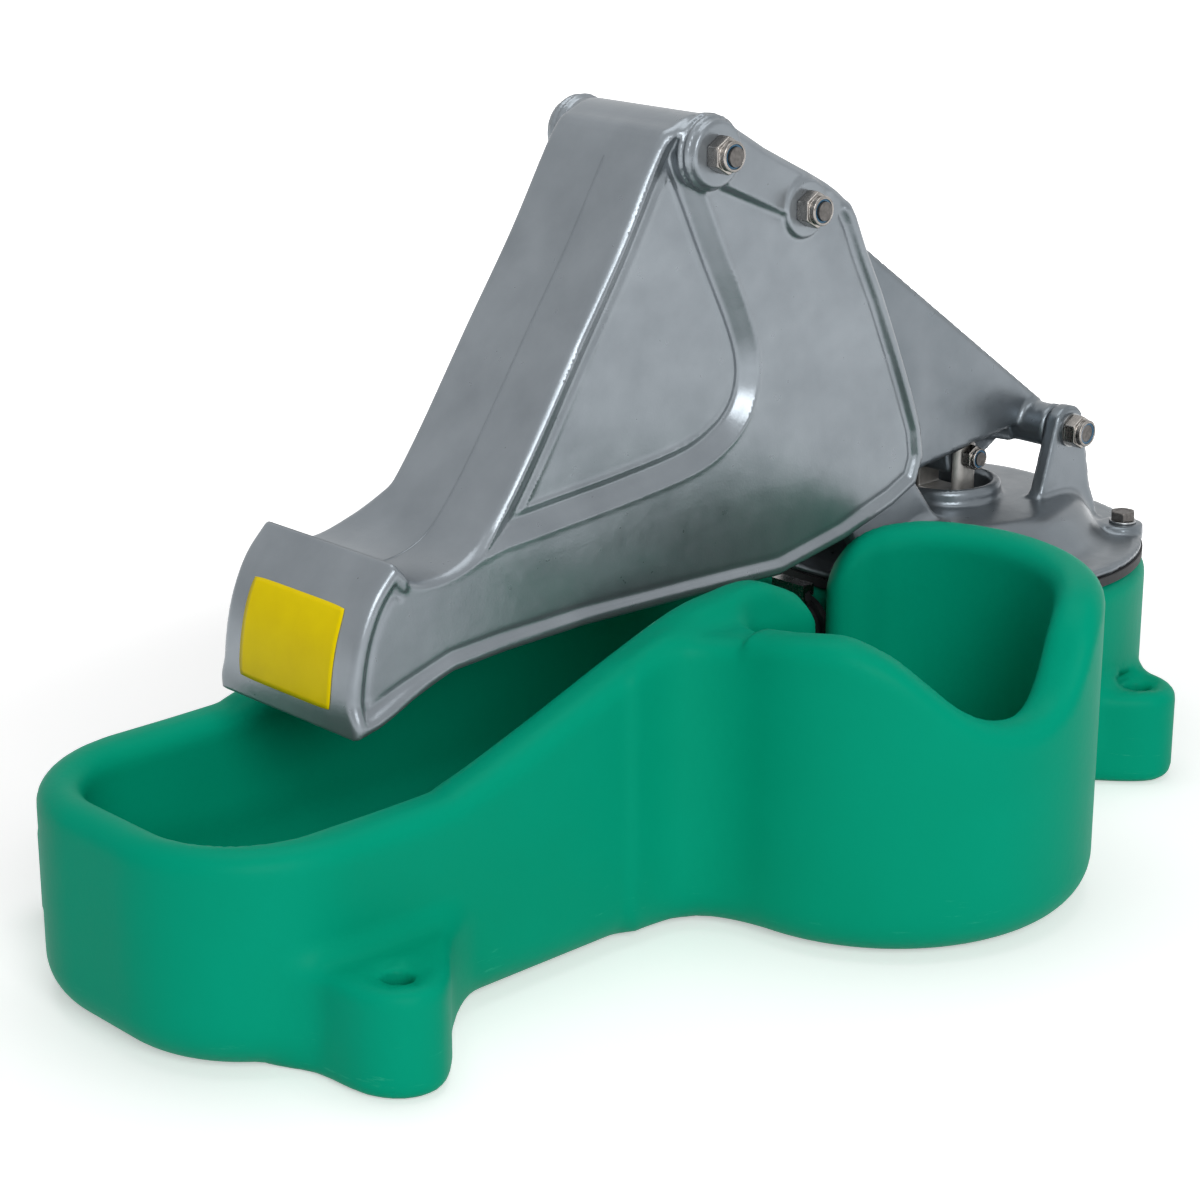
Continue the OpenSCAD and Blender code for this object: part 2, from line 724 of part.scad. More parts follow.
// The hollow is as wide as the walls allow below the panels, and clears the cover's arms above
module hollow_width() {
  w0 = nose_w / 2 - cast_t - 0.5;
  w1 = arm_in + arm_t + side_c;
  plate_x() polygon([[-w0, 0], [w0, 0], [w0, low_z + 3], [w1, low_z + 7], [w1, BIG],
                     [-w1, BIG], [-w1, low_z + 7], [-w0, low_z + 3]]);
}

// A long bar along X with the Y-Z section of its child
module plate_x() {
  rotate([90, 0, 90]) translate([0, 0, -BIG / 2]) linear_extrude(BIG) children();
}

// The strap that thins from the upper boss to the drive boss
strap_h = 6.5;
module strap() {
  w = top_w / 2;
  intersection() {
    plate_y(0, nose_w) polygon([[top_x - 5, top_z + 20], [drive_x + 5, drive_z + 20],
                                [drive_x + 24, drive_z + 7], [drive_x - 10, drive_z - 4],
                                [top_x + 8, top_z - 19]]);
    linear_extrude(BIG) polygon([[top_x - 10, 0], [top_x - 10, w + strap_h], [top_x, w + strap_h],
                                 [drive_x - 10, w + 2.5], [drive_x + 24, w + 1], [drive_x + 24, 0]]);
  }
}

module pusher() color("#a9aeb1") {
  difference() {
    union() {
      difference() {
        intersection() {
          plate_y(-nose_w, nose_w) pusher_outline();
          pusher_width(-bead_h);
        }
        difference() {
          plate_y(-nose_w, nose_w) inside_of_beads();
          pusher_width(0);
        }
        difference() {
          plate_y(-nose_w, nose_w) sunk_outline();
          pusher_width(panel_d - 2);
        }
        difference() {
          plate_y(-nose_w, nose_w) panel_outline();
          pusher_width(panel_d);
        }
      }
      both_sides() strap();
      rod_y(top_x, top_z, 19, -top_boss_w / 2, top_boss_w / 2);
      rod_y(drive_x, drive_z, 16, -drive_boss_w / 2, drive_boss_w / 2);
    }
    intersection() {
      plate_y(-nose_w, nose_w) pusher_hollow_outline();
      hollow_width();
    }
    rod_y(top_x, top_z, bolt_d / 2 + run_c, -BIG / 2, BIG / 2);
    rod_y(drive_x, drive_z, bolt_d / 2 + run_c, -BIG / 2, BIG / 2);
  }
}

module top_pivot_bolt() color("#c9ccce") {
  bolt_y(top_x, top_z, bolt_d / 2, top_boss_w / 2, top_boss_w / 2 + nut_h + thread_proud, bolt_af, head_h);
}

module top_pivot_nut() color("#c9ccce") {
  nut_y(top_x, top_z, -top_boss_w / 2, nut_h, bolt_af, bolt_d / 2 + 0.05);
}

module top_pivot_bushes() color("#e9e6dc") {
  both_sides() difference() {
    rod_y(top_x, top_z, bolt_d / 2 + bush_wall, arm_in, arm_in + arm_t);
    rod_y(top_x, top_z, bolt_d / 2 + run_c, arm_in - 1, arm_in + arm_t + 1);
  }
}

module drive_bolt() color("#c9ccce") {
  bolt_y(drive_x, drive_z, bolt_d / 2, drive_boss_w / 2, drive_boss_w / 2 + nut_h + thread_proud,
         bolt_af, head_h);
}

module drive_nut() color("#c9ccce") {
  nut_y(drive_x, drive_z, -drive_boss_w / 2, nut_h, bolt_af, bolt_d / 2 + 0.05);
}

module drive_bush() color("#e9e6dc") {
  difference() {
    rod_y(drive_x, drive_z, bush_r, -lever_half - side_c, lever_half + side_c);
    rod_y(drive_x, drive_z, bolt_d / 2 + 0.05, -BIG / 2, BIG / 2);
  }
}

module drive_spacers() color("#b9bcbe") {
  both_sides() difference() {
    rod_y(drive_x, drive_z, 8, lever_half + side_c, arm_in + arm_t + side_c);
    rod_y(drive_x, drive_z, bolt_d / 2 + 0.05, -BIG / 2, BIG / 2);
  }
}

plate_t = 6;
flap_t = 2.4;
module valve_plate() color("#3a3d40") {
  translate([pump_x, 0, chamber_z]) difference() {
    cylinder(r = chamber_r - seat_c, h = plate_t, $fn = 96);
    for (a = [0:60:300]) rotate(a) translate([13, 0, -1]) cylinder(r = 4.5, h = plate_t + 2);
    translate([0, 0, -1]) cylinder(r = 4.5, h = plate_t + 2);
  }
}

// Each flap ends in a round bead that turns in a steel clip. Drawn with the bead's axis at the
// origin, the flap runs along -X and its sealing face looks down.
bead_r = 3.5;
lip_h = 2;
clip_wall = 1.5;
module flap_at_hinge(r, width, reach) {
  translate([-reach, 0, -bead_r]) cylinder(r = r, h = flap_t);
  translate([-reach, -width / 2, -bead_r]) cube([reach, width, flap_t]);
  rod_y(0, 0, bead_r, -width / 2, width / 2);
}

module clip_at_hinge(width) {
  difference() {
    translate([-bead_r - clip_wall, -width / 2, -bead_r - seat_c])
      cube([2 * (bead_r + clip_wall) + 2, width, 2 * bead_r + seat_c + clip_wall]);
    rod_y(0, 0, bead_r + run_c, -width, width);
    translate([-BIG, -width, -BIG + lip_h]) cube([BIG, 2 * width, BIG]);
  }
}

suction_r = 24;
flap_reach = suction_r + 5.5;
flap_tab_w = 24;
module at_suction_hinge() {
  translate([pump_x + flap_reach, 0, chamber_z + plate_t + seat_c + bead_r]) children();
}

module suction_flap() color("#151516") at_suction_hinge() flap_at_hinge(suction_r, flap_tab_w, flap_reach);

module suction_flap_clip() color("#c9ccce") at_suction_hinge() clip_at_hinge(flap_tab_w + 4);

// The delivery valve: a spout through the front wall with a flap over its sloping mouth
spout_x0 = pump_x - body_r - 8;
module delivery_seat() color("#3a3d40") {
  difference() {
    union() {
      translate([pump_x - chamber_r + 1, 0, outlet_z]) rotate([0, -90, 0])
        cylinder(r = spout_r, h = pump_x - chamber_r + 1 - spout_x0);
      translate([spout_x0 + 4, 0, outlet_z]) rotate([0, -90, 0]) cylinder(r = spout_r + 5, h = 4);
    }
    translate([pump_x, 0, outlet_z]) rotate([0, -90, 0]) cylinder(r = outlet_r, h = BIG);
  }
}

delivery_r = spout_r + 2;
module at_delivery_hinge() {
  translate([spout_x0 - seat_c - bead_r, 0, outlet_z + delivery_r + 4]) rotate([0, -90, 0]) children();
}

module delivery_flap() color("#151516")
  at_delivery_hinge() flap_at_hinge(delivery_r, flap_tab_w - 4, delivery_r + 4);

module delivery_flap_clip() color("#c9ccce") at_delivery_hinge() clip_at_hinge(flap_tab_w);

module hose_tail() color("#2c2e30") {
  face = pump_x + body_r;
  translate([0, 0, inlet_z]) rotate([0, 90, 0]) difference() {
    union() {
      translate([0, 0, face - 22]) cylinder(r = inlet_r - seat_c, h = 24);
      translate([0, 0, face + 2]) hex_head(34, 10);
      translate([0, 0, face + 12]) cylinder(r = tail_r, h = 11);
      translate([0, 0, face + 20]) cylinder(r = tail_r - 1.8, h = tail_out - 20);
      for (i = [0:2]) translate([0, 0, face + tail_out - (i + 1) * 5.5])
        cylinder(r1 = tail_r, r2 = tail_r - 1.8, h = 5);
    }
    translate([0, 0, face - 30]) cylinder(r = 8.5, h = tail_out + 40);
  }
}

module hose_tail_seal() color("#151516") {
  face = pump_x + body_r;
  translate([face, 0, inlet_z]) rotate([0, 90, 0]) difference() {
    cylinder(r = 17, h = 2);
    translate([0, 0, -1]) cylinder(r = inlet_r, h = 4);
  }
}

bowl_body();
bowl_inserts();
pump_cover();
cover_bolts();
cover_washers();
diaphragm();
upper_plate();
lower_plate();
diaphragm_rod();
rod_nut();
return_spring();
rod_pin_bolt();
rod_pin_nut();
lever();
lever_bush();
rear_pivot_bolt();
rear_pivot_nut();
rear_pivot_washers();
pusher();
top_pivot_bolt();
top_pivot_nut();
top_pivot_bushes();
drive_bolt();
drive_nut();
drive_bush();
drive_spacers();
valve_plate();
suction_flap();
suction_flap_clip();
delivery_seat();
delivery_flap();
delivery_flap_clip();
hose_tail();
hose_tail_seal();
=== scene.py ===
# %% [markdown]
# This lesson dresses a pasture pump. A cow pushes the cast nose plate with its muzzle, and the linkage
# draws water into the green trough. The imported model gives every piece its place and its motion, so the
# lesson starts by loading it and keeps its box, against which the finished pieces are measured at the end.
# %% Load the frame
import json
import math
import bpy
import numpy as np
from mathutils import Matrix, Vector


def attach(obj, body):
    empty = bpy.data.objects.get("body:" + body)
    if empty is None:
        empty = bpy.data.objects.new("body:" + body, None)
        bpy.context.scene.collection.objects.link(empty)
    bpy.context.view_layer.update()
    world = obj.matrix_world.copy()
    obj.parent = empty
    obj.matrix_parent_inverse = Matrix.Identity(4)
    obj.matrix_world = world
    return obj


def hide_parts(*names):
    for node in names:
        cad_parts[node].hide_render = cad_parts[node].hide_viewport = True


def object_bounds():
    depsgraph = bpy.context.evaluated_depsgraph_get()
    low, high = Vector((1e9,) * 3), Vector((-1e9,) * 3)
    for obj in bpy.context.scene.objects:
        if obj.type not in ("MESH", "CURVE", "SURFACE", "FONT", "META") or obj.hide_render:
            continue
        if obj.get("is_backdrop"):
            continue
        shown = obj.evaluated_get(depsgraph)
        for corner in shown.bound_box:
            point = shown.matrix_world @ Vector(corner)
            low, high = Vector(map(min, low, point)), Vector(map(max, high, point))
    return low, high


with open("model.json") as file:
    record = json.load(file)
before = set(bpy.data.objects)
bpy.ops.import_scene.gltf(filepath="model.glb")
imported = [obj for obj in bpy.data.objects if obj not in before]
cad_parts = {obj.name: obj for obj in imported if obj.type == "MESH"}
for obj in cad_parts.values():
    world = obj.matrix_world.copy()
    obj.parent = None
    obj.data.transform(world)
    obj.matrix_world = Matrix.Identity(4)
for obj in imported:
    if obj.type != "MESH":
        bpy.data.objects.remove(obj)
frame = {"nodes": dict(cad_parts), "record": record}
cad_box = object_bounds()

# %% [markdown]
# The camera comes first, because everything else is judged through it. A photograph of a product is taken
# from a few paces with a long lens, which keeps upright edges nearly parallel. The place, the direction
# and the lens below put the trough, the bolts and the round housing where the photograph has them.
# %% Camera
CAMERA_AT = (-1.00666, -1.02514, 0.61211)
CAMERA_LOOK = (0.65478, 0.68856, -0.31169)
camera_data = bpy.data.cameras.new("studio_camera")
camera_data.lens = 84.74
camera_data.sensor_width = 36.0
camera_data.shift_x = 0.00105
camera_data.shift_y = -0.00515
camera = bpy.data.objects.new("studio_camera", camera_data)
camera.location = CAMERA_AT
camera.rotation_euler = Vector(CAMERA_LOOK).to_track_quat("-Z", "Y").to_euler()
bpy.context.collection.objects.link(camera)
bpy.context.scene.camera = camera
bpy.context.scene.view_settings.view_transform = "Standard"
print("camera stands", round(Vector(CAMERA_AT).length, 2), "m from the origin")

# %% [markdown]
# Moulded and cast pieces have no sharp edges: every corner is a fillet, because plastic and metal have to
# flow and let go of the mould. Such a body could be cut from a box and bevelled, but bevels fail where
# walls meet at odd angles. Here each body is a field instead, a function that gives the distance to its
# surface in millimetres, negative inside. Fields join, cut and round with a line of arithmetic each.
# %% Rounded joins and cuts
def round_and(a, b, radius):
    """Where both fields are inside, with the outer corner rounded."""
    reach = np.hypot(np.maximum(a + radius, 0), np.maximum(b + radius, 0))
    return np.minimum(np.maximum(a, b), -radius) + reach

def round_or(a, b, radius):
    """Where either field is inside, with a fillet in the inner corner."""
    return -round_and(-a, -b, radius)

def cut(a, b, radius):
    """The first field without the second, with the new edge rounded."""
    return round_and(a, -b, radius)

def ease(t):
    """Goes from 0 to 1 as t does, and levels off at both ends."""
    t = np.clip(t, 0, 1)
    return t * t * (3 - 2 * t)

def slope(t, soft=0.15):
    """Goes from 0 to 1 as t does, in a straight line with short rounded ends."""
    bend = np.clip(t + soft, 0, 2 * soft) ** 2 / (4 * soft)
    rise = np.maximum(t - soft, 0) + bend
    over = np.clip(t - 1 + soft, 0, 2 * soft) ** 2 / (4 * soft) + np.maximum(t - 1 - soft, 0)
    return rise - over

# %% [markdown]
# A field also needs plane outlines. An outline is drawn with as few points as it needs, and a
# smooth curve is run through them where the real edge is curved. The distance to a closed outline comes
# from its nearest edge, and its sign from counting how often a line to the side crosses it.
# %% Outlines in a plane
def smooth(points, steps=6, closed=True):
    """A Catmull-Rom curve through the points, as a list of points."""
    p = np.array(points, float)
    if not closed:
        p = np.vstack([2 * p[0] - p[1], p, 2 * p[-1] - p[-2]])
    count = len(p) if closed else len(p) - 3
    t = np.linspace(0, 1, steps, endpoint=False)[:, None]
    made = []
    for i in range(count):
        a, b, c, d = (p[(i + k - closed) % len(p)] for k in range(4))
        square, cube = 2 * a - 5 * b + 4 * c - d, 3 * b - a - 3 * c + d
        made.append(0.5 * (2 * b + (c - a) * t + square * t**2 + cube * t**3))
    made = np.vstack(made)
    return made.tolist() if closed else np.vstack([made, p[-2]]).tolist()

def outline(points, u, v):
    """Distance to a closed outline, negative inside."""
    u, v = np.broadcast_arrays(u, v)
    nearest = np.full(u.shape, 1e9)
    sign = np.ones(u.shape)
    for (au, av), (bu, bv) in zip(points, points[1:] + points[:1]):
        eu, ev, wu, wv = bu - au, bv - av, u - au, v - av
        t = np.clip((wu * eu + wv * ev) / (eu * eu + ev * ev + 1e-12), 0, 1)
        nearest = np.minimum(nearest, (wu - eu * t) ** 2 + (wv - ev * t) ** 2)
        below, above, left = v >= av, v < bv, eu * wv > ev * wu
        sign = np.where((below & above & left) | ~(below | above | left), -sign, sign)
    return sign * np.sqrt(nearest)

def line_distance(points, u, v):
    """Distance to an open line through the points."""
    nearest = np.full(np.broadcast(u, v).shape, 1e9)
    for (au, av), (bu, bv) in zip(points, points[1:]):
        eu, ev, wu, wv = bu - au, bv - av, u - au, v - av
        t = np.clip((wu * eu + wv * ev) / (eu * eu + ev * ev + 1e-12), 0, 1)
        nearest = np.minimum(nearest, (wu - eu * t) ** 2 + (wv - ev * t) ** 2)
    return np.sqrt(nearest)

def rounded_box(u, v, centre, half, radius):
    """Distance to a rectangle with round corners."""
    qu = np.abs(u - centre[0]) - half[0] + radius
    qv = np.abs(v - centre[1]) - half[1] + radius
    return np.minimum(np.maximum(qu, qv), 0) + np.hypot(np.maximum(qu, 0), np.maximum(qv, 0)) - radius

# %% [markdown]
# The field still has to become a mesh. The surface net does it: wherever the field changes sign inside a
# small cell it puts one point, and it joins the points of neighbouring cells with four-sided faces. Each
# point is then evened out among its neighbours and pulled back to the true surface along the slope of the
# field, which keeps flat walls flat and fillets round.
# %% Surface net
EDGES = [(a, a | b) for b in (1, 2, 4) for a in range(8) if not a & b]

def corner(k):
    return np.array([k & 1, k >> 1 & 1, k >> 2 & 1])

def pull(field, p, step):
    """Moves points along the field's slope on to its surface."""
    h = 0.2 * step
    value = field(*p.T)
    slope = np.empty_like(p)
    for axis in range(3):
        off = np.zeros(3)
        off[axis] = h
        slope[:, axis] = (field(*(p + off).T) - field(*(p - off).T)) / (2 * h)
    size = np.maximum((slope**2).sum(1), 0.05)
    return p - slope * np.clip(value / size, -0.6 * step, 0.6 * step)[:, None]

def surface_net(field, low, high, step, rounds=3):
    """Points and four-sided faces of the surface where the field is zero."""
    axes = [np.arange(a - 1.5 * step, b + 2 * step, step) for a, b in zip(low, high)]
    x, y, z = np.meshgrid(*axes, indexing="ij", sparse=True)
    shape = tuple(len(a) for a in axes)
    value = np.ascontiguousarray(np.broadcast_to(field(x, y, z), shape), dtype=np.float32)
    inside = value < 0
    n = np.array(shape)
    corners = [tuple(slice(c, m - 1 + c) for c, m in zip(corner(k), n)) for k in range(8)]
    total = sum(inside[part].astype(np.int8) for part in corners)
    at = np.argwhere((total > 0) & (total < 8))
    number = np.full(total.shape, -1, int)
    number[tuple(at.T)] = np.arange(len(at))
    place, hits = np.zeros((len(at), 3)), np.zeros(len(at))
    for a, b in EDGES:
        va, vb = value[tuple((at + corner(a)).T)], value[tuple((at + corner(b)).T)]
        hit = (va < 0) != (vb < 0)
        t = np.where(hit, va / np.where(hit, va - vb, 1), 0)
        place += hit[:, None] * (corner(a) + t[:, None] * (corner(b) - corner(a)))
        hits += hit
    points = np.array([a[0] for a in axes]) + (at + place / hits[:, None]) * step
    faces = []
    for d in range(3):
        u, v = (d + 1) % 3, (d + 2) % 3
        first = np.moveaxis(inside, d, 0)[:-1]
        change = np.argwhere(np.moveaxis(first != np.moveaxis(inside, d, 0)[1:], 0, d))
        cu, cv = change[:, u], change[:, v]
        change = change[(cu > 0) & (cu < n[u] - 1) & (cv > 0) & (cv < n[v] - 1)]
        quad = []
        for du, dv in ((1, 1), (0, 1), (0, 0), (1, 0)):
            c = change.copy()
            c[:, u] -= du
            c[:, v] -= dv
            quad.append(number[tuple(c.T)])
        quad = np.stack(quad, 1)
        turned = ~inside[tuple(change.T)]
        quad[turned] = quad[turned][:, ::-1]
        faces.append(quad)
    faces = np.vstack(faces)
    for _ in range(rounds):
        total, count = np.zeros_like(points), np.zeros(len(points))
        for k in range(4):
            np.add.at(total, faces[:, k], points[faces[:, (k + 1) % 4]] + points[faces[:, k - 1]])
            np.add.at(count, faces[:, k], 2)
        points = pull(field, 0.5 * points + 0.5 * total / count[:, None], step)
    return pull(field, points, step), faces

# %% [markdown]
# Every finished body becomes an object at the origin with its place in its mesh, in metres. It gets a
# material, rides on the body that the frame gives its node, and takes that node's place in the picture.
# %% From points to pieces
MM = 0.001
BODY_OF = {node: body for body, nodes in frame["record"]["behaviour"]["bodies"].items() for node in nodes}
SLOT_OF = {part["node"]: part["material_slot"] for part in frame["record"]["subparts"]}

def make_object(name, points, faces, scale=MM):
    """An object with that mesh, shaded smooth."""
    mesh = bpy.data.meshes.new(name)
    points = np.asarray(points, float) * scale
    mesh.from_pydata(points.tolist(), [], [list(map(int, f)) for f in faces])
    mesh.shade_smooth()
    thing = bpy.data.objects.new(name, mesh)
    bpy.context.collection.objects.link(thing)
    print(name, len(mesh.vertices), "points", len(mesh.polygons), "faces")
    return thing

def stand_for(piece, material, *nodes):
    """The piece takes the place of these nodes, on their body and in their finish."""
    piece.data.materials.clear()
    piece.data.materials.append(material)
    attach(piece, BODY_OF[nodes[0]])
    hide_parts(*nodes)
    return piece

# %% [markdown]
# A material is a small graph. One helper adds a node with its settings and links, and another turns the
# colour written in a paint chart, as hex, into the linear light that the renderer works in.
# %% Material helpers
def linear(text):
    """A hex colour as linear red, green, blue and alpha."""
    parts = [int(text[i:i + 2], 16) / 255 for i in (1, 3, 5)]
    return [c / 12.92 if c <= 0.04045 else ((c + 0.055) / 1.055) ** 2.4 for c in parts] + [1.0]

def add(tree, kind, settings=None, **links):
    """Adds a node. Settings are attributes, and links are sockets or values by input name."""
    made = tree.nodes.new(kind)
    for key, value in (settings or {}).items():
        setattr(made, key, value)
    for key, value in links.items():
        number = key[0] == "i" and key[1:].isdigit()
        socket = made.inputs[int(key[1:]) if number else key.replace("_", " ")]
        if isinstance(value, bpy.types.NodeSocket):
            tree.links.new(value, socket)
        else:
            socket.default_value = value
    return made

def start(name):
    """A new material, its tree, its shader and its Object coordinates."""
    material = bpy.data.materials.new(name)
    material.use_nodes = True
    tree = material.node_tree
    shader = tree.nodes["Principled BSDF"]
    where = add(tree, "ShaderNodeTexCoord").outputs["Object"]
    return material, tree, shader, where

def ramp(tree, factor, stops):
    """A colour ramp, with stops as pairs of place and hex colour."""
    made = add(tree, "ShaderNodeValToRGB", Fac=factor)
    for place, text in stops[2:]:
        made.color_ramp.elements.new(place)
    for element, (place, text) in zip(made.color_ramp.elements, sorted(stops)):
        element.position = place
        element.color = linear(text)
    return made.outputs["Color"]

def noise(tree, where, size_mm, detail=2.0, rough=0.5):
    """Noise whose lumps are about that many millimetres across."""
    made = add(tree, "ShaderNodeTexNoise", Vector=where, Scale=1000 / size_mm, Detail=detail, Roughness=rough)
    return made.outputs["Fac"]

# %% [markdown]
# The tub is rotation-moulded polyethylene. The powder melts against the inside of a hot mould, which
# leaves a satin skin with a faint orange peel, a little waxy depth, and pale scuffs where it was knocked.
# %% Green polyethylene
def green_polyethylene():
    material, tree, shader, where = start("rotation_moulded_polyethylene_green")
    high = add(tree, "ShaderNodeSeparateXYZ", Vector=where).outputs["Z"]
    soft = {"interpolation_type": "SMOOTHSTEP"}
    band = add(tree, "ShaderNodeMapRange", soft, i0=high, i1=0.05, i2=0.02, i3=0.0, i4=0.1)
    flat = add(tree, "ShaderNodeMapping", i0=where, i3=(1, 1, 9)).outputs[0]
    streak = add(tree, "ShaderNodeMath", {"operation": "ADD"},
                 i0=noise(tree, flat, 26, 6, 0.7), i1=band.outputs[0])
    scuff = add(tree, "ShaderNodeMapRange", soft, i0=streak.outputs[0], i1=0.70, i2=0.80)
    cloud = ramp(tree, noise(tree, where, 160, 3), [(0.3, "#009b79"), (0.7, "#00a382")])
    worn = add(tree, "ShaderNodeMix", {"data_type": "RGBA"},
               i0=scuff.outputs[0], i6=cloud, i7=linear("#26ab88"))
    tree.links.new(worn.outputs[2], shader.inputs["Base Color"])
    peel = noise(tree, where, 5, 2)
    grain = noise(tree, where, 1.6, 2)
    both = add(tree, "ShaderNodeMath", {"operation": "MULTIPLY_ADD"}, i0=grain, i1=0.35, i2=peel).outputs[0]
    bump = add(tree, "ShaderNodeBump", Height=both, Strength=0.25, Distance=0.0004).outputs[0]
    tree.links.new(bump, shader.inputs["Normal"])
    gloss = add(tree, "ShaderNodeMapRange", i0=noise(tree, where, 40, 3), i3=0.40, i4=0.54).outputs[0]
    rough = add(tree, "ShaderNodeMath", {"operation": "MULTIPLY_ADD"}, i0=scuff.outputs[0], i1=0.2, i2=gloss)
    tree.links.new(rough.outputs[0], shader.inputs["Roughness"])
    shader.inputs["IOR"].default_value = 1.5
    shader.inputs["Specular IOR Level"].default_value = 0.04
    shader.inputs["Subsurface Weight"].default_value = 0.10
    shader.inputs["Subsurface Radius"].default_value = (0.1, 1.0, 0.7)
    shader.inputs["Subsurface Scale"].default_value = 0.004
    return material

GREEN = green_polyethylene()

# %% [markdown]
# The pusher, the lever and the cover are gravity-cast aluminium, shot-blasted and sprayed with a silver
# paint. The blasting shows as fine grain, the casting as slow waves, and the paint's flakes as a sheen
# that is brighter than plain grey but never as sharp as polished metal. The cover and the lever get a
# darker copy of the same paint, which is painted shade: in the light they read darker than the pusher.
# %% Silver-sprayed cast aluminium
def cast_aluminium(name, dark, light):
    material, tree, shader, where = start(name)
    cloud = noise(tree, where, 35, 4)
    tree.links.new(ramp(tree, cloud, [(0.3, dark), (0.7, light)]), shader.inputs["Base Color"])
    shader.inputs["Metallic"].default_value = 0.64
    rough = add(tree, "ShaderNodeMapRange", i0=noise(tree, where, 9, 4), i3=0.23, i4=0.38).outputs[0]
    tree.links.new(rough, shader.inputs["Roughness"])
    wave = noise(tree, where, 22, 2)
    grain = noise(tree, where, 1.4, 3)
    both = add(tree, "ShaderNodeMath", {"operation": "MULTIPLY_ADD"}, i0=grain, i1=0.16, i2=wave).outputs[0]
    bump = add(tree, "ShaderNodeBump", Height=both, Strength=0.4, Distance=0.0008).outputs[0]
    tree.links.new(bump, shader.inputs["Normal"])
    return material

CAST = cast_aluminium("cast_aluminium_silver_sprayed", "#7a8187", "#878e94")
# A darker copy of the same cast aluminium, painted shade for the cover and the lever.
CAST_PAINTED_SHADE = cast_aluminium("cast_aluminium_painted_shade", "#687076", "#757c82")

# %% [markdown]
# The small hardware needs a few more finishes: zinc on the washers, stainless nuts, a machined rod, dull
# steel on the weathered heads and the sawn ends of the bolts, black rubber, black moulded plastic, white
# nylon bushes and the nuts' blue lock rings. Each differs in colour, gloss and the size of its mottling.
# %% Hardware finishes
def plain_finish(name, light, dark, size_mm, metallic, rough_low, rough_high, bump_mm):
    """A finish with mottled colour, uneven gloss and a fine grain."""
    material, tree, shader, where = start(name)
    mottle = noise(tree, where, size_mm, 3)
    tree.links.new(ramp(tree, mottle, [(0.3, dark), (0.7, light)]), shader.inputs["Base Color"])
    gloss = noise(tree, where, size_mm * 0.4, 2)
    rough = add(tree, "ShaderNodeMapRange", i0=gloss, i3=rough_low, i4=rough_high)
    tree.links.new(rough.outputs[0], shader.inputs["Roughness"])
    grain = noise(tree, where, size_mm * 0.2, 2)
    bump = add(tree, "ShaderNodeBump", Height=grain, Strength=0.3, Distance=bump_mm * MM)
    tree.links.new(bump.outputs[0], shader.inputs["Normal"])
    shader.inputs["Metallic"].default_value = metallic
    return material

ZINC = plain_finish("zinc_plated_steel", "#a3a5a6", "#8c8f91", 3, 1.0, 0.24, 0.36, 0.03)
STAINLESS = plain_finish("turned_stainless_steel", "#9a9692", "#827f7c", 4, 1.0, 0.20, 0.32, 0.02)
ROD_STEEL = plain_finish("machined_rod_steel", "#b5b3b0", "#a09e9a", 5, 0.7, 0.38, 0.50, 0.03)
BOLT_END = plain_finish("sawn_bolt_end", "#6f6c6a", "#565452", 2, 1.0, 0.45, 0.60, 0.06)
RUBBER = plain_finish("black_nitrile_rubber", "#26272a", "#191a1c", 6, 0.0, 0.60, 0.75, 0.10)
BLACK_PLASTIC = plain_finish("black_moulded_polypropylene", "#2b2c2f", "#202124", 8, 0.0, 0.42, 0.55, 0.06)
NYLON = plain_finish("white_nylon", "#e6e3da", "#d9d5ca", 6, 0.0, 0.40, 0.52, 0.05)
LOCK_BLUE = plain_finish("blue_nylon_lock_ring", "#3f6f8f", "#33607e", 2, 0.0, 0.38, 0.50, 0.02)
BRASS = plain_finish("turned_brass", "#c8a65a", "#b5924a", 4, 1.0, 0.25, 0.38, 0.02)
YELLOW = plain_finish("yellow_vinyl_film", "#fbe000", "#f4d800", 20, 0.0, 0.30, 0.42, 0.02)
YELLOW.node_tree.nodes["Principled BSDF"].inputs["Specular IOR Level"].default_value = 0.1

# %% [markdown]
# The tub is one hollow moulding: a long trough, a round calf bowl at its side, a drum for the pump, and
# four fixing lugs. Its walls are thick, with wide soft rims. The rim climbs from the low drinking end to
# a tall side wall, then falls; the calf bowl dips to a lip in front and rises behind.
# %% The tub
PUMP_X = 251.0
CALF = (56.0, -125.0)
CALF_R, CALF_BORE = 110.0, 84.0
HALF_W, INNER_HALF = 97.0, 70.0
FRONT_X, INNER_FRONT = -355.0, -331.0
DRUM_R = 119.0
RIM_R, BASE_R = 11.0, 24.0
TONGUE_END_X = 26.0          # end of the wall between trough and calf bowl
RING_R, RING_STOP = 97, 53   # middle of the calf bowl's wall, and the turn in degrees where it stops
LUGS = [(sx * 277.0, sy * 126.5) for sx in (-1, 1) for sy in (-1, 1)]
LUG_HOLE_R, LUG_SINK_R, LUG_SINK_Z = 7, 13, 52.6
FAR_LIMIT = 149.2            # the far lugs end here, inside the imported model's box
LUG_PLAN = smooth([(-24, -60), (26, -60), (26, -20), (23, 4), (12, 19), (-4, 23), (-19, 14)]
                  + [(-40, -10), (-64, -34), (-74, -60)], 5)

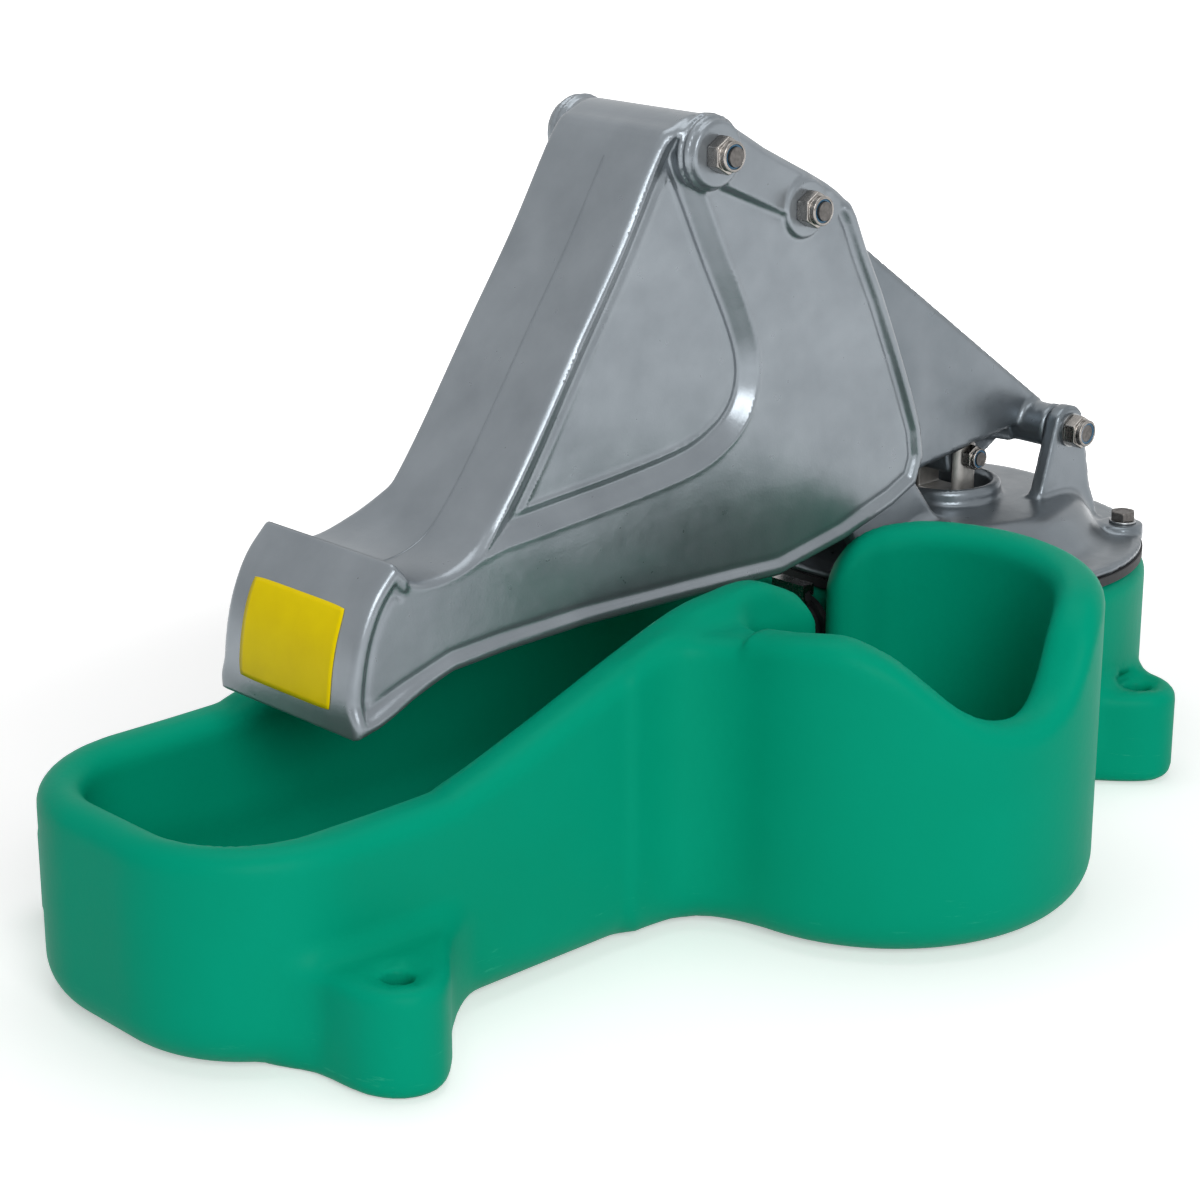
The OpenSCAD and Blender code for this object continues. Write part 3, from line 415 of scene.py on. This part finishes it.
wall_rise = np.array(smooth(
    [(-370, 110), (-232, 110), (-205, 113), (-155, 129), (-102, 148), (-56, 163), (-30, 167), (-4, 168)]
    + [(14, 162), (29, 153), (41, 134), (50, 117), (60, 116), (380, 116)], closed=False))
bowl_rise = np.array(smooth(
    [(-200, 160), (-182, 161), (-171, 163), (-160, 165), (-153, 165.5), (-146, 162.5), (-137, 155)]
    + [(-128, 143), (-118, 129), (-109, 121), (-100, 118), (-92, 119), (-84, 126), (-77, 139)]
    + [(-70, 155), (-61, 165), (-48, 169), (-30, 170), (0, 170), (24, 169), (36, 167), (44, 164)]
    + [(51, 158), (57, 148), (62, 139), (72, 136), (90, 136), (160, 157)], closed=False))

def wall_crest(x):
    return np.interp(x, wall_rise[:, 0], wall_rise[:, 1])

def bowl_crest(x, y):
    """Height of the calf bowl's rim, by the direction from the bowl's centre."""
    turn = np.degrees(np.arctan2(y - CALF[1], x - CALF[0]))
    return np.interp(turn, bowl_rise[:, 0], bowl_rise[:, 1])

def lug_field(x, y, z, at):
    """One lug: a round nose on a root that spreads towards the middle."""
    sx, sy = np.sign(at[0]), np.sign(at[1])
    u, v = (x - at[0]) * sx, (y - at[1]) * sy
    body = round_and(outline(LUG_PLAN, u, v), np.abs(z - 27) - 27, 7)
    reach = np.hypot(x - at[0], y - at[1])
    body = cut(body, np.maximum(reach - LUG_SINK_R, LUG_SINK_Z - z), 0.8)
    return cut(body, reach - LUG_HOLE_R, 1.2)

def tub(x, y, z):
    from_bowl = np.hypot(x - CALF[0], y - CALF[1])
    from_drum = np.hypot(x - PUMP_X, y)
    long_x = (FRONT_X + PUMP_X) / 2
    slot = rounded_box(x, y, (long_x, 0), ((PUMP_X - FRONT_X) / 2, HALF_W), 78)
    slot = np.where(x > 100, np.abs(y) - HALF_W, slot)
    slot = np.maximum(slot, x - PUMP_X)
    trough = round_and(np.minimum(slot, from_drum - DRUM_R), z - wall_crest(x), RIM_R)
    plan = np.maximum(round_or(slot, from_bowl - CALF_R, 40), y + 85)
    plan = np.where(x < 60, plan, np.maximum(from_bowl - CALF_R, y + 20))
    top = np.where(x < -12, np.minimum(bowl_crest(x, y), wall_crest(x)), bowl_crest(x, y))
    top = np.where(from_bowl > CALF_R + 60, 60.0, top)
    bowl = round_and(np.maximum(plan, -100 - x), z - top, RIM_R)
    body = round_or(trough, bowl, 7)
    tongue = np.hypot(np.maximum(x - TONGUE_END_X, 0), y + 83.5) - 13.5
    turn = np.degrees(np.arctan2(y - CALF[1], x - CALF[0]))
    stop = math.radians(RING_STOP)
    end = (CALF[0] + RING_R * math.cos(stop), CALF[1] + RING_R * math.sin(stop))
    on_ring = (turn < RING_STOP) & (turn > -120)
    ring = np.where(on_ring, np.abs(from_bowl - RING_R), np.hypot(x - end[0], y - end[1])) - 13
    basin = rounded_box(x, y, ((INNER_FRONT + 300) / 2, 0), ((300 - INNER_FRONT) / 2, INNER_HALF), 46)
    basin = cut(cut(basin, from_drum - DRUM_R, 12), ring, 12)
    basin = round_and(basin, 24 - z, 26)
    well = cut(from_bowl - CALF_BORE, tongue, 12)
    well = round_and(well, 28 - z, 30)
    hollow = round_or(basin, well, 6)
    body = cut(body, hollow, RIM_R)
    body = round_and(body, -z, BASE_R)
    chamber = np.minimum(round_and(from_drum - 92, 66 - z, 2), round_and(from_drum - 34, 26 - z, 2))
    body = cut(body, chamber, 1)
    for at in LUGS:
        near = lug_field(x, y, z, at)
        body = round_or(body, np.maximum(near, INNER_HALF + 10 - np.abs(y)), 12)
        reach = np.hypot(x - at[0], y - at[1])
        body = cut(body, np.maximum(reach - LUG_HOLE_R, z - 60), 1.2)
        body = cut(body, np.maximum(reach - LUG_SINK_R, np.abs(z - 54.8) - 2.2), 0.8)
    return np.maximum(np.maximum(body, -z), y - FAR_LIMIT)

TUB_STEP = 3.6
tub_piece = make_object("moulded_tub", *surface_net(tub, (-356, -236, 0), (371, 151, 176), TUB_STEP))
stand_for(tub_piece, GREEN, "bowl_body")

# %% [markdown]
# The pusher is the piece that the animal works: a hollow casting, open below and behind, with a curved
# nose plate, a sloping front and two cheeks. The near cheek has a sunk triangular panel, a proud rim along
# its lower and rear edges, and bosses for the two bolts. The relief is added to the cheek's half width.
# %% The pusher
TOP = (-1.0, 383.0)
DRIVE = (72.0, 346.0)
REAR = (303.0, 186.0)
NOSE_FRONT = smooth([(-238, 133), (-238.5, 149), (-236, 168), (-231, 185), (-222.5, 201), (-209.5, 214.6)],
                    5, closed=False)
SLOPING_FRONT = smooth(
    [(-204, 209), (-198, 203.5), (-190, 201), (-174, 202), (-158, 208), (-144, 221), (-124, 247), (-91, 296)]
    + [(-60, 341), (-31, 388), (-18, 398), (-3, 402), (12, 397)], 5, closed=False)
PUSHER_OUTLINE = (
    NOSE_FRONT + SLOPING_FRONT
    + [(42, 380.5), (76, 364.5), (92, 356.5), (101, 351), (108, 345.5), (113.5, 337), (122, 318)]
    + [(135, 293), (149, 262), (160, 236), (169, 213), (171.5, 195), (166, 179), (146, 170)]
    + [(107, 159), (56, 150), (7, 152), (-86, 155), (-140, 154), (-174, 152), (-202, 144), (-224, 136)])
HOLLOW_OUTLINE = (
    [(-234, 100), (-233, 149), (-231, 167), (-226, 183), (-219, 195), (-211, 202)]
    + [(-190, 196.5), (-172, 197.5), (-156.5, 203), (-140, 215.5), (-118, 242), (-84.5, 292), (-54, 339)]
    + [(-26, 384), (-16, 393), (-3, 398), (10, 394), (30, 440), (260, 440), (260, 100)])
SUNK = smooth(
    [(-200, 210), (-140, 213), (-100, 216), (-57, 219.5), (-11, 225), (12, 233), (26, 244), (32.5, 258)]
    + [(32.5, 275), (24.5, 297), (8, 330), (-8, 364), (-24, 396), (-60, 440), (-140, 420), (-230, 300)], 5)
RIM = (
    [(-212, 205), (-220, 197), (-229, 183), (-233, 168), (-235, 149), (-234, 139), (-223, 141), (-201, 149)]
    + [(-174, 156.5), (-140, 158.5), (-86, 159.5), (7, 156.5), (56, 154.5), (106, 163.5), (143, 174)]
    + [(159, 181), (167, 194), (165, 211), (156, 234), (145, 260), (131, 291), (118, 316), (109, 334)])
STRAP = [(-6, 404), (14, 399), (78, 366), (98, 352), (60, 343), (10, 364)]
SUNK_DEPTH, RIM_HEIGHT = 6.5, 2.3

def bump(d, width):
    """A small rounded swell at d = 0."""
    return np.exp(-(d / width) ** 2)

def cheek(x, z, far):
    """Half width of the casting, with the relief of its near cheek. The far cheek is plain and closer in."""
    level = np.interp(z, [200, 383], [48.0, 44.0])
    sunk = outline(SUNK, x, z)
    edge = -outline(PUSHER_OUTLINE, x, z)
    down = np.minimum(5 - sunk, edge - 4.0)
    level = level - SUNK_DEPTH * slope(down / 9) - 2 * slope(0.5 - sunk / 9) * (1 - slope(down / 9))
    level = level + 0.7 * bump(down + 0.6, 1.3) - 0.9 * bump(down - 8, 2.2) + 0.6 * bump(down - 12.5, 1.4)
    near_rim = slope((12 - line_distance(RIM, x, z)) / 3)
    level = level + (RIM_HEIGHT * slope((8 - edge) / 2.2) - 0.9 * bump(edge - 10.2, 1.7)) * near_rim
    chin = 3.5 * ease((152 - z) / 14) * ease((-165 - x) / 25)
    strap = np.interp(x, [0, 60, 90], [6.5, 2.0, 0.5])
    level = level + strap * slope(0.5 - outline(STRAP, x, z) / 2)
    plain = 52 - 14.4 * slope((z - 204) / 18) * slope((x + 202) / 8)
    return np.where(far, plain, level) + chin

def pusher(x, y, z):
    side, out = cheek(x, z, y > 0), np.abs(y)
    body = round_and(outline(PUSHER_OUTLINE, x, z), out - side, 4.4)
    at_top = np.hypot(x - TOP[0], z - TOP[1])
    at_drive = np.hypot(x - DRIVE[0], z - DRIVE[1])
    ring = np.minimum(np.hypot(at_top - 18.3, out - 44.5), np.hypot(at_top - 17.7, out - 48.8)) - 1.5
    boss = round_and(at_top - 18.0 + 0.1 * np.maximum(out - 44, 0), out - 54, 1.2)
    body = round_or(body, round_or(ring, boss, 0.8), 1.5)
    body = round_or(body, round_and(at_drive - 15.5, out - 48, 1.0), 1.5)
    wall = np.interp(z, [198, 207, 260], [42.5, 35.0, 34.2])
    hollow = round_and(outline(HOLLOW_OUTLINE, x, z), out - wall, 4)
    body = cut(body, hollow, 1.5)
    return cut(body, np.minimum(at_top, at_drive) - 5.2, 0.6)

PUSHER_STEP = 1.55
pusher_piece = make_object("cast_pusher", *surface_net(pusher, (-242, -56, 128), (176, 56, 404), PUSHER_STEP))
stand_for(pusher_piece, CAST, "pusher")

# %% [markdown]
# The two halves of the casting mould met near the middle of the sloping front, and left a fine raised
# line that the grinder didn't reach. It could be a bump in the material, but a real ridge is part of the
# mesh itself, so it is a low ridge of four-sided faces laid along the outline.
# %% The parting line
def parting_line(y, width, height):
    path = [(x, z) for x, z in SLOPING_FRONT if -199 < x < -33]
    points, faces = [], []
    for i, (x, z) in enumerate(path):
        (ax, az), (bx, bz) = path[max(i - 1, 0)], path[min(i + 1, len(path) - 1)]
        size = math.hypot(bx - ax, bz - az)
        out = (-(bz - az) / size, (bx - ax) / size)
        for side, rise in ((-1, -0.6), (0, height), (1, -0.6)):
            points.append((x + out[0] * rise, y + side * width / 2, z + out[1] * rise))
    for i in range(len(path) - 1):
        for j in range(2):
            k = 3 * i + j
            faces.append((k, k + 1, k + 4, k + 3))
    line = make_object("parting_line", points, faces)
    line.data.materials.append(CAST)
    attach(line, BODY_OF["pusher"])

parting_line(-8.0, 1.8, 0.5)

# %% [markdown]
# A sheet of yellow film is stuck on the nose plate. It is a thin patch that follows the plate's curve, a
# third of a millimetre proud of the metal, with softly rounded corners. It is left plain.
# %% The film on the nose
def nose_x(z):
    return np.interp(z, [p[1] for p in NOSE_FRONT], [p[0] for p in NOSE_FRONT])

def nose_film():
    """A patch of small faces on the nose, twice half_y wide and twice half_z high."""
    columns, rows = 24, 18
    mid_y, half_y, mid_z, half_z = 1.5, 35.5, 169.0, 24.5
    across = np.linspace(-1, 1, columns + 1)
    points, faces = [], []
    for j in range(rows + 1):
        for i in range(columns + 1):
            u, v = across[i], 2 * j / rows - 1
            inset = 1 - 0.03 * (abs(u * v) ** 6)
            z = mid_z + half_z * v * inset
            points.append((nose_x(z) - 0.35, mid_y + half_y * u * inset, z))
    for j in range(rows):
        for i in range(columns):
            k = j * (columns + 1) + i
            faces.append((k, k + columns + 1, k + columns + 2, k + 1))
    film = make_object("nose_film", points, faces)
    wall = film.modifiers.new("wall", "SOLIDIFY")
    wall.thickness = 0.0002
    film.data.materials.append(YELLOW)
    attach(film, BODY_OF["pusher"])

nose_film()

# %% [markdown]
# The pivot nuts are self-locking: a hexagon with chamfered corners, a rolled collar that grips a blue
# nylon ring, and a hole through which the bolt's end shows. The hexagon is six flats and two cones.
# %% Lock nuts
def hexagon(u, v, flat):
    turns = (0, math.pi / 3, 2 * math.pi / 3)
    return np.maximum.reduce([np.abs(u * math.cos(a) + v * math.sin(a)) for a in turns]) - flat / 2

def lock_nut(x, y, z, at, face, flat, bolt_r, height):
    """Steel of a nut on the near side, whose seat is at y = face."""
    w = face - y
    reach = np.hypot(x - at[0], z - at[1])
    hexed = round_and(hexagon(x - at[0], z - at[1], flat), np.abs(w - height * 0.33) - height * 0.33, 0.2)
    hexed = round_and(hexed, (reach - flat * 0.545) * 0.87 + (w - height * 0.66) * 0.5, 0.2)
    hexed = round_and(hexed, (reach - flat * 0.545) * 0.87 - w * 0.5, 0.2)
    collar = round_and(reach - flat * 0.435, np.abs(w - height / 2) - height / 2, 0.9)
    collar = np.minimum(collar, np.hypot(reach - flat * 0.43, w - height * 0.93) - 0.55)
    return cut(np.minimum(hexed, collar), reach - bolt_r - 1.2, 0.2)

def lock_ring(x, y, z, at, face, bolt_r, height):
    reach = np.hypot(x - at[0], z - at[1])
    deep = np.abs(face - y - height * 0.72) - height * 0.24
    return round_and(np.abs(reach - bolt_r - 0.7) - 0.6, deep, 0.3)

NUT_STEP = 0.45

def nut_set(name, at, face, flat, bolt_r, height, nut_node):
    low = (at[0] - flat * 0.6, face - height - 0.5, at[1] - flat * 0.6)
    high = (at[0] + flat * 0.6, face + 0.5, at[1] + flat * 0.6)
    def steel_field(x, y, z):
        return lock_nut(x, y, z, at, face, flat, bolt_r, height)

    def ring_field(x, y, z):
        return lock_ring(x, y, z, at, face, bolt_r, height)

    steel = make_object(name, *surface_net(steel_field, low, high, NUT_STEP, 2))
    stand_for(steel, STAINLESS, nut_node)
    ring = make_object(name + "_ring", *surface_net(ring_field, low, high, NUT_STEP * 0.7, 1))
    ring.data.materials.append(LOCK_BLUE)
    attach(ring, BODY_OF[nut_node])

PIN_Z = 173.0
M10, M8 = (17, 5, 11.4), (13, 4, 8.6)   # width across flats, bolt radius and height in millimetres
nut_set("rear_pivot_lock_nut", REAR, -52.0, *M10, "rear_pivot_nut")
nut_set("top_pivot_lock_nut", TOP, -54.0, *M10, "top_pivot_nut")
nut_set("drive_lock_nut", DRIVE, -48.0, *M10, "drive_nut")
nut_set("rod_pin_lock_nut", (PUMP_X, PIN_Z), -17.3, *M8, "rod_pin_nut")

# %% [markdown]
# Four bolts hold the cover. Their head is drawn once, and Geometry Nodes put a copy on each point of a
# small mesh that has a point per bolt. Each copy is turned a little further than the one before, because
# real bolts stop wherever they come tight. The washers come from the same node group.
# %% Cover bolts by Geometry Nodes
def cover_bolt(x, y, z):
    reach = np.hypot(x, y)
    head = round_and(hexagon(x, y, 13), np.abs(z - 2.65) - 2.65, 0.25)
    head = round_and(head, (reach - 6.9) * 0.87 + (z - 5.3) * 0.5, 0.2)
    head = cut(head, np.maximum(reach - 4.2, 5.0 - z), 0.2)
    shank = round_and(reach - 4, np.abs(z + 16) - 17, 0.4)
    return round_or(head, shank, 0.4)

def cover_washer(x, y, z):
    return round_and(np.abs(np.hypot(x, y) - 6.15) - 1.85, np.abs(z - 0.8) - 0.8, 0.3)

def copies_on_points():
    """A node group that puts a turned copy of an object on every point."""
    group = bpy.data.node_groups.new("copy_on_each_point", "GeometryNodeTree")
    for name, kind in (("Places", "Geometry"), ("Copy", "Object"), ("Turn", "Float"), ("Finish", "Material")):
        group.interface.new_socket(name, in_out="INPUT", socket_type="NodeSocket" + kind)
    group.interface.new_socket("Copies", in_out="OUTPUT", socket_type="NodeSocketGeometry")
    given = add(group, "NodeGroupInput").outputs
    model = add(group, "GeometryNodeObjectInfo", Object=given["Copy"]).outputs["Geometry"]
    number = add(group, "GeometryNodeInputIndex").outputs[0]
    turn = add(group, "ShaderNodeMath", {"operation": "MULTIPLY"}, i0=number, i1=given["Turn"]).outputs[0]
    turned = add(group, "ShaderNodeCombineXYZ", Z=turn).outputs[0]
    placed = add(group, "GeometryNodeInstanceOnPoints",
                 Points=given["Places"], Instance=model, Rotation=turned)
    real = add(group, "GeometryNodeRealizeInstances", i0=placed.outputs[0]).outputs[0]
    done = add(group, "GeometryNodeSetMaterial", Geometry=real, Material=given["Finish"]).outputs[0]
    add(group, "NodeGroupOutput", i0=done)
    return group

COPIES = copies_on_points()

BOLT_CIRCLE = 106
BOLT_TURNS = [math.radians(a) for a in (45, 135, 225, 315)]

def on_cover_bolts(name, field, low, high, z, turn, material, node):
    """Draws one model at the origin, copies it on to the cover's bolt places and makes one mesh of them."""
    model = make_object(name + "_model", *surface_net(field, low, high, NUT_STEP, 1))
    places = bpy.data.meshes.new(name + "_places")
    spots = [(PUMP_X + BOLT_CIRCLE * math.cos(a), BOLT_CIRCLE * math.sin(a), z) for a in BOLT_TURNS]
    places.from_pydata([tuple(v * MM for v in spot) for spot in spots], [], [])
    base = bpy.data.objects.new(name + "_places", places)
    bpy.context.collection.objects.link(base)
    modifier = base.modifiers.new("copies", "NODES")
    modifier.node_group = COPIES
    socket = {item.name: item.identifier for item in COPIES.interface.items_tree if item.in_out == "INPUT"}
    modifier[socket["Copy"]], modifier[socket["Turn"]], modifier[socket["Finish"]] = model, turn, material
    mesh = bpy.data.meshes.new_from_object(base.evaluated_get(bpy.context.evaluated_depsgraph_get()))
    bpy.data.objects.remove(base)
    bpy.data.objects.remove(model)
    mesh.shade_smooth()
    made = bpy.data.objects.new(name, mesh)
    bpy.context.collection.objects.link(made)
    print(name, len(mesh.vertices), "points in", len(spots), "copies")
    return stand_for(made, material, node)

on_cover_bolts("cover_hex_bolts", cover_bolt, (-8, -8, -34), (8, 8, 6), 131.6, 0.4, BOLT_END,
               "cover_bolts")
on_cover_bolts("cover_plain_washers", cover_washer, (-9, -9, -1), (9, 9, 2.5), 130.0, 0.0, ZINC,
               "cover_washers")

# %% [markdown]
# The cover closes the pump. It is a shallow dome on a flat flange, with a collar round the rod, four pads
# for the bolts, two ears behind for the lever's pivot, and two long arms that carry the upper pivot.
# %% The pump cover
DOME = smooth([(0, 148), (60, 148), (72, 147.5), (80, 144), (86, 137), (91, 130), (97, 126.4)]
              + [(104, 126), (112, 126)], 4, closed=False) + [(116, 125.5), (116, 121), (0, 121)]
UNDER = [(0, 110), (87, 110), (86, 126), (76, 140), (71, 143), (0, 143)]
EAR = ([(266, 126), (272, 137), (280, 154), (289.3, 186), (292, 195), (297, 199), (303, 200.3), (309, 199)]
       + [(314, 195), (317, 187), (326, 148), (333, 134), (335, 126)])
ARM = [(149, 124), (-14, 376), (-13, 390), (-5, 396), (5, 396), (12, 389), (207, 146), (207, 124)]
PAD_CIRCLE, PAD_R = 105, 13

def cover(x, y, z):
    reach = np.hypot(x - PUMP_X, y)
    body = outline(DOME, reach, z)
    pads = np.full(np.broadcast(x, y, z).shape, 1e3)
    for turn in BOLT_TURNS:
        pad = (PUMP_X + PAD_CIRCLE * math.cos(turn), PAD_CIRCLE * math.sin(turn))
        pads = np.minimum(pads, np.hypot(x - pad[0], y - pad[1]) - PAD_R)
    body = round_or(body, round_and(pads, np.abs(z - 125.5) - 4.5, 1.5), 3)
    collar = round_and(np.abs(reach - 29.6) - 3.4, np.abs(z - 148) - 9.5, 3.2)
    body = round_or(body, collar, 3)
    body = round_or(body, round_and(outline(EAR, x, z), np.abs(np.abs(y) - 45.5) - 4.5, 1.5), 4)
    body = round_or(body, round_and(outline(ARM, x, z), np.abs(np.abs(y) - 28.5) - 4.5, 2), 6)
    body = cut(body, outline(UNDER, reach, z), 1)
    body = cut(body, reach - 26.2, 1)
    body = cut(body, np.hypot(x - REAR[0], z - REAR[1]) - 5.2, 0.5)
    return cut(body, np.hypot(x - TOP[0], z - TOP[1]) - 7.5, 0.5)

COVER_STEP = 2.2
cover_piece = make_object("cast_cover", *surface_net(cover, (-16, -120, 121), (368, 120, 401), COVER_STEP))
# The cover wears the darker copy of the cast paint, which is painted shade.
stand_for(cover_piece, CAST_PAINTED_SHADE, "pump_cover")

# %% [markdown]
# The lever is a deep casting of two side plates under one web. It hangs on a wide barrel at the rear,
# carries the rod's pin in a lug near the barrel, and takes the drive bolt in a slot at its far end.
# %% The lever
def lever(x, y, z):
    along = np.array([DRIVE[0] - REAR[0], DRIVE[1] - REAR[1]])
    along = along / np.hypot(*along)
    down = np.array([-along[1], along[0]])
    c, b = np.array(REAR), np.array(DRIVE)
    upper = [c - down * 14.5, b - down * 15, b - down * 15 + along * 12, b + along * 37,
             b + down * 17 + along * 25]
    lower = [(92, 286), (150, 200), (197, 175.2), (292, 186.4), c + np.array((0, -5))]
    side = outline([tuple(p) for p in upper + lower], x, z)
    body = round_and(side, np.abs(y) - 22, 1.2)
    across = (x - c[0]) * down[0] + (z - c[1]) * down[1]
    body = cut(body, round_and(np.abs(y) - 17, -across - 8, 3), 1)
    barrel = round_and(np.hypot(x - c[0], z - c[1]) - 12.6 - 0.6 * (np.abs(y) > 35), np.abs(y) - 40, 1.2)
    body = round_or(body, barrel, 3)
    lug = outline([(240, 164), (262, 164), (295, 182), (295, 200), (259, 231), (231, 251), (235, 185)], x, z)
    body = np.minimum(body, round_and(lug, np.abs(y) - 11, 1))
    web = outline([(238, 176), (264, 180.5), (278, 178.5), (291, 174.7), (303, 174), (303, 195), (240, 195)],
                  x, z)
    body = np.minimum(body, round_and(web, np.abs(y) - 15, 1))
    t = np.clip((x - b[0]) * along[0] + (z - b[1]) * along[1], 0, 17)
    slot = np.hypot(x - b[0] - along[0] * t, z - b[1] - along[1] * t)
    body = round_or(body, round_and(slot - 15, np.abs(np.abs(y) - 18.5) - 3.5, 1), 1)
    body = cut(body, slot - 10.2, 0.6)
    room = np.maximum(np.abs(x - PUMP_X) - 12, np.abs(np.abs(y) - 14.5) - 3.5)
    body = cut(body, np.maximum(room, z - 186), 0.4)
    body = cut(body, np.maximum(np.hypot(x - PUMP_X, z - PIN_Z) - 9.5, 17 - np.abs(y)), 0.4)
    body = cut(body, np.hypot(np.maximum(np.abs(x - PUMP_X) - 1.2, 0), z - PIN_Z) - 4.4, 0.3)
    return cut(body, np.hypot(x - c[0], z - c[1]) - 7.5, 0.5)

LEVER_STEP = 2.0
lever_piece = make_object("cast_lever", *surface_net(lever, (40, -41, 162), (318, 41, 372), LEVER_STEP))
# The lever wears the darker copy of the cast paint, which is painted shade.
stand_for(lever_piece, CAST_PAINTED_SHADE, "lever")

# %% [markdown]
# The rod that pulls the diaphragm ends in a fork, which shows in the collar under the lever. Its two arms
# reach up past the lever's lug, with well rounded corners, so that they look turned.
# %% The diaphragm rod
FORK_HALF = 9.8

def rod(x, y, z):
    u = x - PUMP_X
    stem = round_and(np.hypot(u, y) - 9, np.abs(z - 136) - 21, 1)
    stem = np.minimum(stem, round_and(np.hypot(u, y) - 6, np.abs(z - 107) - 15, 1))
    top = np.where(z > PIN_Z, np.hypot(u, z - PIN_Z) - FORK_HALF, np.abs(u) - FORK_HALF)
    block = round_and(round_and(np.abs(u) - FORK_HALF, np.abs(y) - 17, 6), np.maximum(147 - z, top), 1)
    body = np.minimum(stem, block)
    body = cut(body, np.maximum(np.abs(y) - 12, 151 - z), 0.5)
    return cut(body, np.hypot(u, z - PIN_Z) - 4.1, 0.4)

ROD_STEP = 0.9
rod_piece = make_object("turned_rod", *surface_net(rod, (241, -17.2, 92), (261, 17.2, 183), ROD_STEP))
stand_for(rod_piece, ROD_STEEL, "diaphragm_rod")

# %% [markdown]
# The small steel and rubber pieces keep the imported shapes, which are already true, and get their finishes.
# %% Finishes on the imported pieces
FINISH_OF_SLOT = {"zinc_steel": ZINC, "bright_steel": STAINLESS, "black_rubber": RUBBER,
                  "black_plastic": BLACK_PLASTIC, "white_nylon": NYLON, "brass_insert": BRASS,
                  "cast_aluminium": CAST, "green_plastic": GREEN}
for node, thing in frame["nodes"].items():
    thing.data.materials.clear()
    bolt = node.endswith(("pivot_bolt", "drive_bolt", "pin_bolt"))
    thing.data.materials.append(BOLT_END if bolt else FINISH_OF_SLOT[SLOT_OF[node]])
print("finishes on", len(frame["nodes"]), "nodes")

# %% [markdown]
# A plain pale floor, a soft key from the left front, a weak fill from the right and a top light make a
# plain studio. The floor keeps the shadow near the object and turns to pure white further out, and the
# world is white to the camera and to reflections but dimmer as a light, so metal mirrors a white room.
# %% Studio
def seen_directly(tree):
    """1 for camera, glossy and transmission rays, 0 for the rays that light things."""
    rays = add(tree, "ShaderNodeLightPath")
    seen = add(tree, "ShaderNodeMath", {"operation": "MAXIMUM"},
               i0=rays.outputs["Is Camera Ray"], i1=rays.outputs["Is Glossy Ray"])
    return add(tree, "ShaderNodeMath", {"operation": "MAXIMUM"},
               i0=seen.outputs[0], i1=rays.outputs["Is Transmission Ray"]).outputs[0]

def studio_floor():
    material, tree, shader, where = start("pale_studio_floor")
    shader.inputs["Base Color"].default_value = linear("#f4f4f4")
    shader.inputs["Roughness"].default_value = 0.8
    shader.inputs["Emission Color"].default_value = (1, 1, 1, 1)
    away = add(tree, "ShaderNodeVectorMath", {"operation": "LENGTH"}, i0=where).outputs["Value"]
    fade = add(tree, "ShaderNodeMapRange", {"interpolation_type": "SMOOTHSTEP"},
               i0=away, i1=0.40, i2=0.9, i3=0.42, i4=1.2)
    glow = add(tree, "ShaderNodeMath", {"operation": "MULTIPLY"}, i0=fade.outputs[0], i1=seen_directly(tree))
    tree.links.new(glow.outputs[0], shader.inputs["Emission Strength"])
    mesh = bpy.data.meshes.new("studio_floor")
    half, low = 8.0, -0.0005
    corners = [(-half, -half, low), (half, -half, low), (half, half, low), (-half, half, low)]
    mesh.from_pydata(corners, [], [(0, 1, 2, 3)])
    floor = bpy.data.objects.new("studio_floor", mesh)
    bpy.context.collection.objects.link(floor)
    mesh.materials.append(material)
    floor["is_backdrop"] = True
    print("floor is", floor.dimensions.x, "m wide")

studio_floor()

def area_light(name, at, size, watts, aim=(0.0, 0.0, 0.15)):
    light = bpy.data.lights.new(name, "AREA")
    light.shape = "RECTANGLE"
    light.size, light.size_y = size
    light.energy = watts
    lamp = bpy.data.objects.new(name, light)
    lamp.location = at
    lamp.rotation_euler = (Vector(aim) - Vector(at)).to_track_quat("-Z", "Y").to_euler()
    bpy.context.collection.objects.link(lamp)
    print(name, watts, "W")

area_light("key_softbox", (-1.3, -2.3, 1.5), (1.4, 1.4), 44)
area_light("side_softbox", (2.4, -0.8, 1.2), (1.4, 1.4), 2.5)
area_light("top_softbox", (0.1, 0.2, 2.4), (1.6, 1.6), 16)

def studio_world():
    world = bpy.data.worlds.new("studio_world")
    bpy.context.scene.world = world
    world.use_nodes = True
    tree = world.node_tree
    strength = add(tree, "ShaderNodeMapRange", i0=seen_directly(tree), i3=0.19, i4=1.0)
    tree.links.new(strength.outputs[0], tree.nodes["Background"].inputs["Strength"])
    tree.nodes["Background"].inputs["Color"].default_value = (1, 1, 1, 1)
    print("world lights at 0.19 and shows white")

studio_world()

new_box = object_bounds()
boxes = {"cad": [list(map(float, c)) for c in cad_box], "visual": [list(map(float, c)) for c in new_box]}
for kind, (low, high) in boxes.items():
    print(kind, "box", [round(b - a, 4) for a, b in zip(low, high)])
